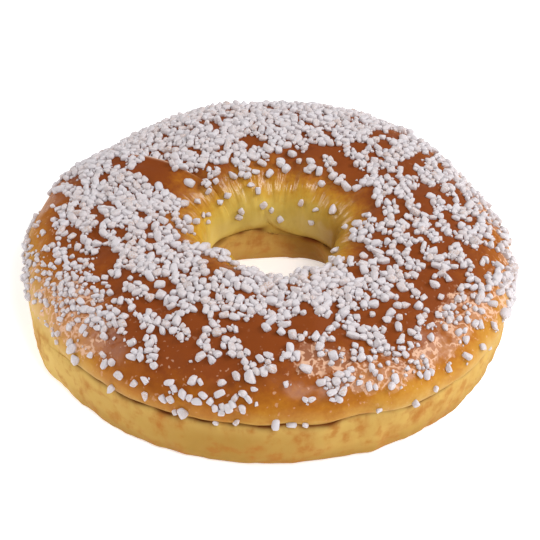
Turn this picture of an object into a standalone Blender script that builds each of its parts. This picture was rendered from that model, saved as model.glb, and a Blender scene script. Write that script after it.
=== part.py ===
"""An orange blossom brioche: one baked ring of sweet dough, strewn with pearl sugar.

The ring stands on its flat base at z = 0 with the middle of its outline at the origin. Its shape is
a cross-section that is worked out afresh at each azimuth round the hole: a low foot, a seam where the
risen dough hangs over the foot, a domed crust up to the crest, and the same again down into the hole.
Azimuth 0 is +X and 90 degrees is +Y. The largest pearls of sugar are sunk into the crust and joined
to it by one Boolean union, so the whole brioche is one closed solid.
"""

import math
import random

import bmesh
import bpy
import numpy as np
from mathutils import Matrix, Vector

# The ring's own sizes, in metres
RING_RADIUS = 0.1135  # from the middle of the hole to the widest part of the crust
CENTRE_SHIFT = (0.0013, -0.0017)  # moves the uneven ring so that its outer box is centred
CREST_RADIUS = 0.0590  # to the highest line of the crust
HOLE_RADIUS = 0.0275  # to the wall of the hole, just above the inner seam
RING_HEIGHT = 0.0510  # the crest above the table
WIDEST_HEIGHT = 0.0250  # where the outer crust is widest
THROAT_HEIGHT = 0.0245  # where the hole is narrowest above its seam
OUTER_BASE_RADIUS = 0.1065  # the edges of the flat base
INNER_BASE_RADIUS = 0.0355
OUTER_SEAM_HEIGHT = 0.0218  # the seams between the foot and the risen crust
INNER_SEAM_HEIGHT = 0.0200

# How full each part of the section is: 2 is an ellipse, and more is squarer
OUTER_FOOT_FULLNESS = 2.9
INNER_FOOT_FULLNESS = 1.3
OUTER_DOME_FULLNESS = 2.05
INNER_DOME_FULLNESS = 2.45

# The seams
SEAM_DEPTH = 0.0030  # at its deepest
SEAM_WIDTH = 0.0016  # how fast the groove closes above and below
FOOT_SETBACK = 0.0014  # the foot stands this far behind the crust that overhangs it
SEAM_UNDERCUT = 0.0022  # the crust draws in this far between its widest part and the seam
INNER_LIP = 0.0010  # the foot stands this far out of the wall into the hole

# The faceted surface
AZIMUTH_STEPS = 108
FOOT_STEPS = 3
OUTER_DOME_STEPS = 9
INNER_DOME_STEPS = 7
BASE_STEPS = 2
GRADING = 1.5  # above 1, the steps of a section crowd towards its seams

# The join where the two ends of the rolled dough were pressed together
JOIN_AZIMUTH = math.radians(142)
JOIN_STEP = 0.0036  # how far the front end lies over the back one
JOIN_SLANT = math.radians(26)  # the join runs across the ring at a slant
JOIN_FADE = math.radians(13)  # the step dies away over this angle on either side
JOIN_SHARPNESS = math.radians(2.6)

# The dent where two folds of dough meet on the far wall of the hole
CLEFT_AZIMUTH = math.radians(91)
CLEFT_DEPTH = 0.0030
CLEFT_SPREAD = math.radians(9)
CLEFT_SLANT = math.radians(55)  # the dent runs down the wall at a slant

# Broad unevenness: (waves round the ring, amplitude in metres, azimuth of its peak in degrees)
OUTLINE_WAVES = ((3, 0.0018, 316), (4, 0.0015, 338), (5, 0.0007, 9))
HOLE_WAVES = ((1, 0.0013, 0), (2, 0.0019, 348), (3, 0.0027, 37))
CREST_WAVES = ((1, 0.0017, 189), (2, 0.0014, 80), (3, 0.0010, 5))
INNER_SEAM_WAVES = ((1, 0.0008, 131), (2, 0.0018, 74), (3, 0.0028, 355))
# Local swellings of the outline: (azimuth, half width, both in degrees, height in metres)
OUTLINE_SWELLINGS = (
    (28, 14, 0.0012),
    (136, 7, -0.0020),
    (153, 10, 0.0026),
    (203, 9, 0.0012),
    (236, 20, -0.0024),
)
# The same, for the outside of the foot alone, for the outer seam's height, and for the height at which
# the outer crust is widest
FOOT_SWELLINGS = ((204, 10, 0.0028), (236, 20, 0.0024), (270, 55, 0.0012))
SEAM_SWELLINGS = ((228, 14, 0.0024), (258, 48, 0.0030), (273, 4, 0.0012), (292, 7, 0.0030))
WIDEST_SWELLINGS = ((265, 60, 0.0042),)
SEAM_STRENGTHS = ((238, 20, 0.55), (268, 30, 0.20))  # how much more open the outer seam is in front
SEAM_CLOSINGS = ((201, 13, 0.92),)  # where the crust runs down over the seam, as a share
LUMP_HEIGHT = 0.0009  # low lumps all over the crust

# The pearl sugar that is large enough to model
PEARL_COUNT = 155
PEARL_RADIUS = (0.0020, 0.0026)  # smallest and largest
PEARL_GAP = 0.0006  # least space between two pearls
PEARL_SUNK = 0.38  # how deep a pearl sits, as a share of its radius
PEARL_STRETCH = (1.0, 1.3)  # how long a pearl is against its width
PEARL_ROUGHNESS = 0.13
PEARL_SEED = 32
PEARL_TRIES = 40000
# The pearls are kept apart on an even ring: its middle radius, half width and half height
EVEN_RING = (0.0705, 0.0430, 0.0265)
# Patches with less sugar: (azimuth in degrees, crossing, the half width of each, how bare the patch is)
BARE_PATCHES = (
    (145, 0.53, 12, 0.070, 1.00),
    (134, 0.63, 20, 0.050, 1.00),
    (50, 0.53, 24, 0.050, 1.00),
    (230, 0.565, 14, 0.028, 0.95),
    (180, 0.60, 14, 0.050, 0.50),
    (265, 0.38, 14, 0.035, 0.80),
    (203, 0.385, 11, 0.035, 0.85),
    (170, 0.23, 16, 0.060, 0.90),
    (245, 0.25, 16, 0.030, 0.80),
    (300, 0.23, 14, 0.045, 0.85),
    (320, 0.375, 12, 0.035, 0.60),
)

CRUST_COLOUR = (0.50, 0.22, 0.05, 1.0)


def waves(azimuth, terms):
    """The sum of a few waves round the ring."""
    return sum(height * np.cos(count * (azimuth - math.radians(peak))) for count, height, peak in terms)


def turn_between(azimuth, other):
    """The signed angle from one azimuth to another, the short way round."""
    return (azimuth - other + math.pi) % (2 * math.pi) - math.pi


def swellings(azimuth, terms):
    """The sum of a few smooth local bumps round the ring."""
    return sum(
        height * np.exp(-((turn_between(azimuth, math.radians(at)) / math.radians(width)) ** 2))
        for at, width, height in terms
    )


def power(base, exponent):
    """A power that is safe where rounding has made its base a little negative."""
    return np.maximum(base, 0.0) ** exponent


def groove(distance):
    """A sharp V with rounded shoulders: 1 at the seam, 0 well away from it."""
    return np.exp(-np.abs(distance) / SEAM_WIDTH)


def outer_radius(azimuth):
    """The widest radius of the crust at an azimuth."""
    return RING_RADIUS + waves(azimuth, OUTLINE_WAVES) + swellings(azimuth, OUTLINE_SWELLINGS)


def outer_seam_height(azimuth):
    """The height of the outer seam, which rises in front."""
    return OUTER_SEAM_HEIGHT + swellings(azimuth, SEAM_SWELLINGS)


def seam_openness(azimuth):
    """The share of the outer seam that the crust leaves open."""
    return 1 - swellings(azimuth, SEAM_CLOSINGS)


def seam_strength(azimuth):
    """How deep the outer seam is: it gapes in front on the left and almost closes elsewhere."""
    return (0.25 + swellings(azimuth, SEAM_STRENGTHS)) * seam_openness(azimuth)


def foot(share, base_radius, seam_radius, seam_height, fullness):
    """The foot, from the edge of the flat base (share 0) up to the seam (share 1)."""
    angle = share * math.pi / 2
    rise = 1 - power(np.cos(angle), 2 / fullness)
    run = power(np.sin(angle), 2 / fullness)
    return base_radius + (seam_radius - base_radius) * run, seam_height * rise


def dome(azimuth, share, wide_radius, wide_height, seam_radius, seam_height, fullness):
    """The risen crust, from the seam (share 0) past its widest part up to the crest (share 1)."""
    turning = 0.22  # the share at which the crust is widest
    crest_radius = CREST_RADIUS + 0 * azimuth
    crest_height = RING_HEIGHT + waves(azimuth, CREST_WAVES)
    below = np.clip(share / turning, 0, 1)
    angle = np.clip((share - turning) / (1 - turning), 0, 1) * math.pi / 2
    under_radius = seam_radius + (wide_radius - seam_radius) * np.sin(below * math.pi / 2)
    under_height = seam_height + (wide_height - seam_height) * below
    over_radius = crest_radius + (wide_radius - crest_radius) * power(np.cos(angle), 2 / fullness)
    over_height = wide_height + (crest_height - wide_height) * power(np.sin(angle), 2 / fullness)
    lower = share < turning
    return np.where(lower, under_radius, over_radius), np.where(lower, under_height, over_height)


def outer_foot(azimuth, share):
    """The foot on the outside of the ring."""
    seam_height = outer_seam_height(azimuth)
    swelling = swellings(azimuth, FOOT_SWELLINGS)
    seam_radius = outer_radius(azimuth) - SEAM_UNDERCUT - FOOT_SETBACK * seam_strength(azimuth) + swelling
    base_radius = OUTER_BASE_RADIUS + outer_radius(azimuth) - RING_RADIUS + swelling
    radius, height = foot(share, base_radius, seam_radius, seam_height, OUTER_FOOT_FULLNESS)
    return radius - SEAM_DEPTH * seam_strength(azimuth) * groove(height - seam_height), height


def outer_dome(azimuth, share):
    """The risen crust on the outside of the ring."""
    seam_height = outer_seam_height(azimuth)
    wide_radius = outer_radius(azimuth)
    wide_height = WIDEST_HEIGHT + swellings(azimuth, WIDEST_SWELLINGS)
    swelling = swellings(azimuth, FOOT_SWELLINGS) * (1 - seam_openness(azimuth))
    seam_radius = wide_radius - SEAM_UNDERCUT + swelling
    radius, height = dome(
        azimuth, share, wide_radius, wide_height, seam_radius, seam_height, OUTER_DOME_FULLNESS
    )
    return radius - SEAM_DEPTH * seam_strength(azimuth) * groove(height - seam_height), height


def inner_dome(azimuth, share):
    """The risen crust on the side of the hole."""
    seam_height = INNER_SEAM_HEIGHT + waves(azimuth, INNER_SEAM_WAVES)
    throat_radius = HOLE_RADIUS + waves(azimuth, HOLE_WAVES)
    throat_height = THROAT_HEIGHT + waves(azimuth, INNER_SEAM_WAVES)
    radius, height = dome(
        azimuth, share, throat_radius, throat_height, throat_radius, seam_height, INNER_DOME_FULLNESS
    )
    return radius + SEAM_DEPTH / 2 * groove(height - seam_height), height


def inner_foot(azimuth, share):
    """The foot on the side of the hole, a lip that stands out of the wall."""
    seam_height = INNER_SEAM_HEIGHT + waves(azimuth, INNER_SEAM_WAVES)
    seam_radius = HOLE_RADIUS + waves(azimuth, HOLE_WAVES) - INNER_LIP
    base_radius = INNER_BASE_RADIUS + waves(azimuth, HOLE_WAVES)
    radius, height = foot(share, base_radius, seam_radius, seam_height, INNER_FOOT_FULLNESS)
    return radius + SEAM_DEPTH / 2 * groove(height - seam_height), height


def join_relief(azimuth, crossing):
    """The step where one end of the dough lies over the other, on the top and the hole's side.

    crossing is 0 at the outer seam, 0.5 at the crest and 1 at the inner seam.
    """
    line = JOIN_AZIMUTH - JOIN_SLANT * (crossing - 0.5)
    turn = turn_between(azimuth, line)
    side = np.tanh(turn / JOIN_SHARPNESS)
    fade = np.exp(-np.abs(turn) / JOIN_FADE)
    window = np.exp(-(((crossing - 0.57) / 0.19) ** 4))
    return JOIN_STEP / 2 * side * fade * window


def cleft_relief(azimuth, crossing):
    """The soft upright dent on the wall of the hole."""
    turn = turn_between(azimuth, CLEFT_AZIMUTH - CLEFT_SLANT * (crossing - 0.93))
    window = np.exp(-(((crossing - 0.93) / 0.16) ** 2))
    return -CLEFT_DEPTH * np.exp(-np.abs(turn) / CLEFT_SPREAD) * window


def lump_relief(azimuth, crossing):
    """Low lumps that are the same each time."""
    across = crossing * math.pi
    return LUMP_HEIGHT * (
        np.sin(6 * azimuth + 2.2 * across + 0.6) * np.sin(2 * across + 0.4)
        + 0.7 * np.sin(11 * azimuth - 3.1 * across + 2.1) * np.sin(across)
        + 0.5 * np.sin(17 * azimuth + 5.0 * across + 4.0) * np.sin(across)
    )


def graded(steps, towards_start):
    """Shares from 0 to 1 that crowd towards one end."""
    even = np.linspace(0, 1, steps + 1)
    return even**GRADING if towards_start else 1 - (1 - even) ** GRADING


def section_rows():
    """The stations of one section, from the outer edge of the base over the crest to the inner edge.

    Each row is the function that gives the curve, the share of the way along it, and crossing.
    """
    rows = [(outer_foot, share, 0.0) for share in graded(FOOT_STEPS, False)]
    rows += [(outer_dome, share, share / 2) for share in graded(OUTER_DOME_STEPS, True)[1:]]
    rows += [(inner_dome, share, 1 - share / 2) for share in graded(INNER_DOME_STEPS, True)[::-1][1:]]
    rows += [(inner_foot, share, 1.0) for share in graded(FOOT_STEPS, False)[::-1][1:]]
    return rows


def crust_grid(azimuths):
    """The points of the crust, one row for each station and one column for each azimuth."""
    rows = section_rows()
    radius = np.array([curve(azimuths, share)[0] for curve, share, _ in rows])
    height = np.array([curve(azimuths, share)[1] for curve, share, _ in rows])
    crossing = np.array([row[2] for row in rows])[:, None]
    relief = (
        join_relief(azimuths, crossing) + cleft_relief(azimuths, crossing) + lump_relief(azimuths, crossing)
    )
    # The relief is laid on square to the section, and dies away over the foot.
    along_radius = np.gradient(radius, axis=0)
    along_height = np.gradient(height, axis=0)
    length = np.hypot(along_radius, along_height)
    on_foot = np.array([row[0] in (outer_foot, inner_foot) for row in rows])[:, None]
    relief = np.where(on_foot, 0.0, relief)
    radius = radius + relief * along_height / length
    height = height - relief * along_radius / length
    across = radius * np.cos(azimuths) + CENTRE_SHIFT[0]
    deep = radius * np.sin(azimuths) + CENTRE_SHIFT[1]
    return np.stack([across, deep, height], axis=-1)


def base_grid(crust):
    """The rows of points between the inner and the outer edge of the flat base."""
    inner, outer = crust[-1], crust[0]
    return np.array([inner + (outer - inner) * step / BASE_STEPS for step in range(1, BASE_STEPS)])


def ring_mesh():
    """The ring without its sugar, as one closed mesh."""
    azimuths = np.linspace(0, 2 * math.pi, AZIMUTH_STEPS, endpoint=False)
    crust = crust_grid(azimuths)
    points = np.concatenate([crust, base_grid(crust)])
    rows = len(points)
    work = bmesh.new()
    grid = [[work.verts.new(point) for point in row] for row in points]
    for row in range(rows):
        for column in range(AZIMUTH_STEPS):
            beside = (column + 1) % AZIMUTH_STEPS
            above = (row + 1) % rows
            work.faces.new((grid[row][column], grid[row][beside], grid[above][beside], grid[above][column]))
    bmesh.ops.triangulate(work, faces=work.faces[:])
    mesh = bpy.data.meshes.new("brioche")
    work.to_mesh(mesh)
    work.free()
    return mesh, crust


def soft_step(value, edge, softness):
    """Rises from 0 below an edge to 1 above it."""
    return 1 / (1 + math.exp((edge - value) / softness))


def sugar_density(azimuth, crossing):
    """How thickly the sugar lies, from 0 to 1: most along the crest, little in front and near the seams."""
    front = 0.03 * soft_step(crossing, 0.09, 0.012) + 0.08 * soft_step(crossing, 0.22, 0.02)
    front += 0.20 * soft_step(crossing, 0.285, 0.015) + 0.42 * soft_step(crossing, 0.425, 0.012)
    back = 0.30 * soft_step(crossing, 0.09, 0.02) + 0.48 * soft_step(crossing, 0.20, 0.03)
    behind = soft_step(-math.cos(azimuth - math.radians(245)), 0.0, 0.06)
    to_right = turn_between(azimuth, math.radians(25)) / math.radians(50)
    to_back = turn_between(azimuth, math.radians(100)) / math.radians(35)
    hole_edge = 0.68 - 0.13 * math.exp(-(to_right**2)) - 0.05 * math.exp(-(to_back**2))
    density = (front * (1 - behind) + back * behind) * (1 - 0.30 * max(math.cos(azimuth), 0) ** 2)
    density *= 1 - soft_step(crossing, hole_edge, 0.012)
    for at, middle, width, spread, bareness in BARE_PATCHES:
        along = turn_between(azimuth, math.radians(at)) / math.radians(width)
        density *= 1 - bareness * math.exp(-(along**2) - ((crossing - middle) / spread) ** 2)
    return density + 0.02 * (crossing < 0.92)


def even_place(azimuth, crossing):
    """A place on an even ring, by which the pearls are kept apart."""
    middle_radius, half_width, half_height = EVEN_RING
    turn = crossing * math.pi
    radius = middle_radius + half_width * math.cos(turn)
    return Vector((radius * math.cos(azimuth), radius * math.sin(azimuth), half_height * math.sin(turn)))


class Crust:
    """Finds the point and the outward direction of the crust at any azimuth and crossing."""

    def __init__(self, crust):
        self.points = crust
        self.crossings = np.array([row[2] for row in section_rows()])

    def station(self, crossing):
        """The row of the grid, counted in fractions, that lies at a crossing."""
        rows = np.flatnonzero(np.diff(self.crossings) > 0)
        first, last = rows[0], rows[-1] + 1
        return float(np.interp(crossing, self.crossings[first : last + 1], np.arange(first, last + 1)))

    def point(self, azimuth, station):
        """The point of the faceted crust, between its vertices as a quad is."""
        column = azimuth / (2 * math.pi) * AZIMUTH_STEPS
        left, low = int(math.floor(column)), int(math.floor(station))
        across, up = column - left, station - low
        corners = [
            Vector(self.points[low + i][(left + j) % AZIMUTH_STEPS]) for i in (0, 1) for j in (0, 1)
        ]
        lower = corners[0].lerp(corners[1], across)
        upper = corners[2].lerp(corners[3], across)
        return lower.lerp(upper, up)

    def seat(self, azimuth, crossing):
        """The point and the outward direction at which a pearl sits."""
        station = self.station(crossing)
        here = self.point(azimuth, station)
        round_the_ring = self.point(azimuth + 0.02, station) - here
        over_the_ring = self.point(azimuth, min(station + 0.2, len(self.points) - 1.01)) - here
        return here, round_the_ring.cross(over_the_ring).normalized()


def pearl_seats(crust):
    """Where the largest pearls sit: their places, directions, sizes and turns, largest first."""
    draw = random.Random(PEARL_SEED)
    finder = Crust(crust)
    smallest, largest = PEARL_RADIUS
    seats, even = [], []
    for _ in range(PEARL_TRIES):
        if len(seats) == PEARL_COUNT:
            break
        azimuth = draw.uniform(0, 2 * math.pi)
        crossing = draw.uniform(0.08, 0.92)
        radius = largest - (largest - smallest) * len(seats) / PEARL_COUNT
        spin = draw.uniform(0, 2 * math.pi)
        if draw.random() > sugar_density(azimuth, crossing):
            continue
        place = even_place(azimuth, crossing)
        if all((place - other).length > 2.5 * radius + PEARL_GAP for other in even):
            seats.append((*finder.seat(azimuth, crossing), radius, spin))
            even.append(place)
    return seats


def pearl(seat, draw, index):
    """One lump of pressed sugar, an uneven ball that is a little longer than it is wide."""
    place, outward, radius, spin = seat
    work = bmesh.new()
    bmesh.ops.create_icosphere(work, subdivisions=1, radius=radius)
    for vertex in work.verts:
        vertex.co *= draw.uniform(1 - PEARL_ROUGHNESS, 1 + PEARL_ROUGHNESS)
    stretch = draw.uniform(*PEARL_STRETCH)
    bmesh.ops.scale(work, vec=(stretch, 1, 0.9), verts=work.verts)
    turn = outward.to_track_quat("Z", "Y").to_matrix().to_4x4() @ Matrix.Rotation(spin, 4, "Z")
    centre = place + outward * radius * (1 - 2 * PEARL_SUNK) * 0.9
    work.transform(Matrix.Translation(centre) @ turn)
    mesh = bpy.data.meshes.new(f"pearl_{index:03d}")
    work.to_mesh(mesh)
    work.free()
    return bpy.data.objects.new(mesh.name, mesh)


def crust_material():
    """The baked and egg-washed crust."""
    material = bpy.data.materials.new("baked_crust")
    material.use_nodes = True
    shader = material.node_tree.nodes["Principled BSDF"]
    shader.inputs["Base Color"].default_value = CRUST_COLOUR
    shader.inputs["Roughness"].default_value = 0.35
    shader.inputs["Metallic"].default_value = 0.0
    return material


def join_pearls(brioche, crust):
    """Joins the pearls to the ring with one union, then removes their objects."""
    pearls = bpy.data.collections.new("pearls")
    bpy.context.scene.collection.children.link(pearls)
    draw = random.Random(PEARL_SEED + 1)
    for index, seat in enumerate(pearl_seats(crust)):
        pearls.objects.link(pearl(seat, draw, index))
    union = brioche.modifiers.new("pearls", "BOOLEAN")
    union.operation = "UNION"
    union.solver = "MANIFOLD"
    union.operand_type = "COLLECTION"
    union.collection = pearls
    bpy.context.view_layer.objects.active = brioche
    bpy.ops.object.modifier_apply(modifier=union.name)
    for each in list(pearls.objects):
        bpy.data.objects.remove(each)
    bpy.data.collections.remove(pearls)


def main():
    for each in list(bpy.data.objects):
        bpy.data.objects.remove(each)
    mesh, crust = ring_mesh()
    brioche = bpy.data.objects.new("brioche", mesh)
    bpy.context.scene.collection.objects.link(brioche)
    mesh.materials.append(crust_material())
    join_pearls(brioche, crust)
    brioche.data.shade_smooth()
    brioche.data.set_sharp_from_angle(angle=math.radians(40))


main()
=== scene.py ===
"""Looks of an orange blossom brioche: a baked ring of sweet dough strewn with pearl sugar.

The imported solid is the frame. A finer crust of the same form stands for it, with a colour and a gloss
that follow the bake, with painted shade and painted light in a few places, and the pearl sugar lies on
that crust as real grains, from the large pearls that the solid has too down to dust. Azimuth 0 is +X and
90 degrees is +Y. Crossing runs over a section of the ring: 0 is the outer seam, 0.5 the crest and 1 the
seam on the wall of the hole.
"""

import sys

import itertools
import logging
import math
import random
from dataclasses import dataclass, field
from enum import Enum

import bmesh
import bpy
import numpy as np
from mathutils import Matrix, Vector


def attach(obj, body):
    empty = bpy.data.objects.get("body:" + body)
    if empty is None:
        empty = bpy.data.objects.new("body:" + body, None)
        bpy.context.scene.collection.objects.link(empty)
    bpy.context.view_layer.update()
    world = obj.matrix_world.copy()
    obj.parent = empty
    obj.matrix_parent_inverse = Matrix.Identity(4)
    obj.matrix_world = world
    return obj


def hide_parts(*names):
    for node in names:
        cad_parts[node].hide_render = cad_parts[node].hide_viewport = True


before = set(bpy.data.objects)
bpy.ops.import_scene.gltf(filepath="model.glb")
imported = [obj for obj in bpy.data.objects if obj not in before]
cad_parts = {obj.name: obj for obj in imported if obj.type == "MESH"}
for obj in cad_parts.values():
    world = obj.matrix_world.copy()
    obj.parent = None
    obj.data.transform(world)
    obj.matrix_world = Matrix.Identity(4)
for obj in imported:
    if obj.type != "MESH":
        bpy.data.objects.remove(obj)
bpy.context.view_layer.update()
LOG = logging.getLogger("brioche")
NODE = "brioche"
BODY = "root"
WHITE = (1.0, 1.0, 1.0, 1.0)

# How many waves a noise adds up, and how much shorter and longer than the middle one they are.
NOISE_WAVES = 28
NOISE_SPREAD = (0.7, 1.5)

# How a screen turns its levels into light.
SCREEN_LEVELS = 255
SCREEN_OFFSET = 0.055
SCREEN_POWER = 2.4

# The largest power of e that a soft step works out.
STEEPEST = 50

# A span is where a change starts and ends, or a middle and a spread. A patch is its azimuth in degrees,
# its crossing, the half widths of both and its strength, and a place is a patch of full strength.
Triple = tuple[float, float, float]
Colour = Triple
Span = tuple[float, float]
Patch = tuple[float, float, float, float, float]
Places = tuple[tuple[float, float, float, float], ...]
Waves = tuple[tuple[int, float, float], ...]
Socket = bpy.types.NodeSocket


class Stretch(Enum):
    """The stretches of a section, from the outer edge of the base over the crest to the inner edge."""

    OUTER_FOOT = "outer foot"
    OUTER_DOME = "outer dome"
    INNER_DOME = "inner dome"
    INNER_FOOT = "inner foot"


class GrainShape(Enum):
    """How a kind of sugar grain is broken: how many flats it has beyond a cube's, and how worn it is."""

    BLOCK = (9, 0.36)
    CHIP = (6, 0.32)
    SPECK = (3, 0.0)

    @property
    def flats(self) -> int:
        """How many flats are broken off a cube."""
        return self.value[0]

    @property
    def wear(self) -> float:
        """How far the edges are worn, as a share of the way to the middle of a flat."""
        return self.value[1]


def turn_between(azimuth: np.ndarray, other: float | np.ndarray) -> np.ndarray:
    """Measures the signed angle from one azimuth to another, the short way round.

    Args:
        azimuth: The azimuths to measure to, in radians.
        other: The azimuth or azimuths to measure from, in radians.

    Returns:
        The angles, from -pi to pi.
    """
    return (azimuth - other + math.pi) % (2 * math.pi) - math.pi


def smooth_step(value: np.ndarray, low: float | np.ndarray, high: float | np.ndarray) -> np.ndarray:
    """Rises smoothly from 0 at one value to 1 at another.

    Args:
        value: The values to place.
        low: Where the step starts.
        high: Where the step ends, above or below its start.

    Returns:
        The share of the step, from 0 to 1.
    """
    share = np.clip((value - low) / (high - low), 0, 1)
    return share * share * (3 - 2 * share)


def bump(value: np.ndarray, middle: float, spread: float) -> np.ndarray:
    """Makes a smooth hump that is 1 at its middle.

    Args:
        value: The values to place.
        middle: Where the hump is highest.
        spread: How far it takes to fall to a third.

    Returns:
        The height of the hump at each value.
    """
    return np.exp(-(((value - middle) / spread) ** 2))


def field_noise(points: np.ndarray, wavelength: float, seed: int) -> np.ndarray:
    """Adds up plane waves in random directions, which gives an even, rounded noise.

    Args:
        points: The places to measure, as an array whose last axis has three values.
        wavelength: The middle wavelength, in the points' units.
        seed: Chooses the noise.

    Returns:
        The noise at each place, mostly between -2 and 2.
    """
    draw = np.random.default_rng(seed)
    directions = draw.normal(size=(NOISE_WAVES, 3))
    directions /= np.linalg.norm(directions, axis=1, keepdims=True)
    counts = 2 * math.pi / (wavelength * draw.uniform(*NOISE_SPREAD, NOISE_WAVES))
    phases = draw.uniform(0, 2 * math.pi, NOISE_WAVES)
    total = np.zeros(points.shape[:-1])
    for direction, count, phase in zip(directions, counts, phases):
        total += np.sin(points @ (direction * count) + phase)
    return total / math.sqrt(NOISE_WAVES / 2)


def patch_share(azimuth: np.ndarray, crossing: np.ndarray, patch: Patch, sharpness: int = 4) -> np.ndarray:
    """Says how strongly a rounded patch shows at a point.

    Args:
        azimuth: Where round the ring, in radians.
        crossing: Where over the section.
        patch: Its azimuth in degrees, its crossing, the half widths of both and its strength.
        sharpness: How sharp the patch's edge is.

    Returns:
        The patch's strength in its middle, falling to 0 well outside it.
    """
    at, middle, width, spread, strength = patch
    along = turn_between(azimuth, math.radians(at)) / math.radians(width)
    over = (crossing - middle) / spread
    return strength * np.exp(-(along**sharpness) - over**sharpness)


@dataclass(frozen=True)
class Ripple:
    """A rounded noise on the surface: its height, its middle wavelength in metres and its seed."""

    height: float
    wavelength: float
    seed: int

    def over(self, points: np.ndarray, share: float | np.ndarray = 1.0) -> np.ndarray:
        """Gives the height of the noise.

        Args:
            points: The places to measure.
            share: How much of its height it has at each place.

        Returns:
            The height at each place.
        """
        return self.height * share * field_noise(points, self.wavelength, self.seed)


@dataclass(frozen=True)
class Zone:
    """A soft stretch round the ring: its azimuth and its spread in degrees, and its strength."""

    middle: float
    spread: float
    strength: float = 1.0

    def around(self, azimuth: np.ndarray) -> np.ndarray:
        """Says how strongly the zone shows at each azimuth, which is in radians."""
        turn = turn_between(azimuth, math.radians(self.middle))
        return self.strength * bump(turn, 0.0, math.radians(self.spread))


@dataclass(frozen=True)
class Mottle:
    """A noise in a finish: the size of its blobs in metres, its finer layers and where it sets in."""

    size: float
    detail: float
    roughness: float
    low: float = 0.0
    high: float = 1.0


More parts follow.
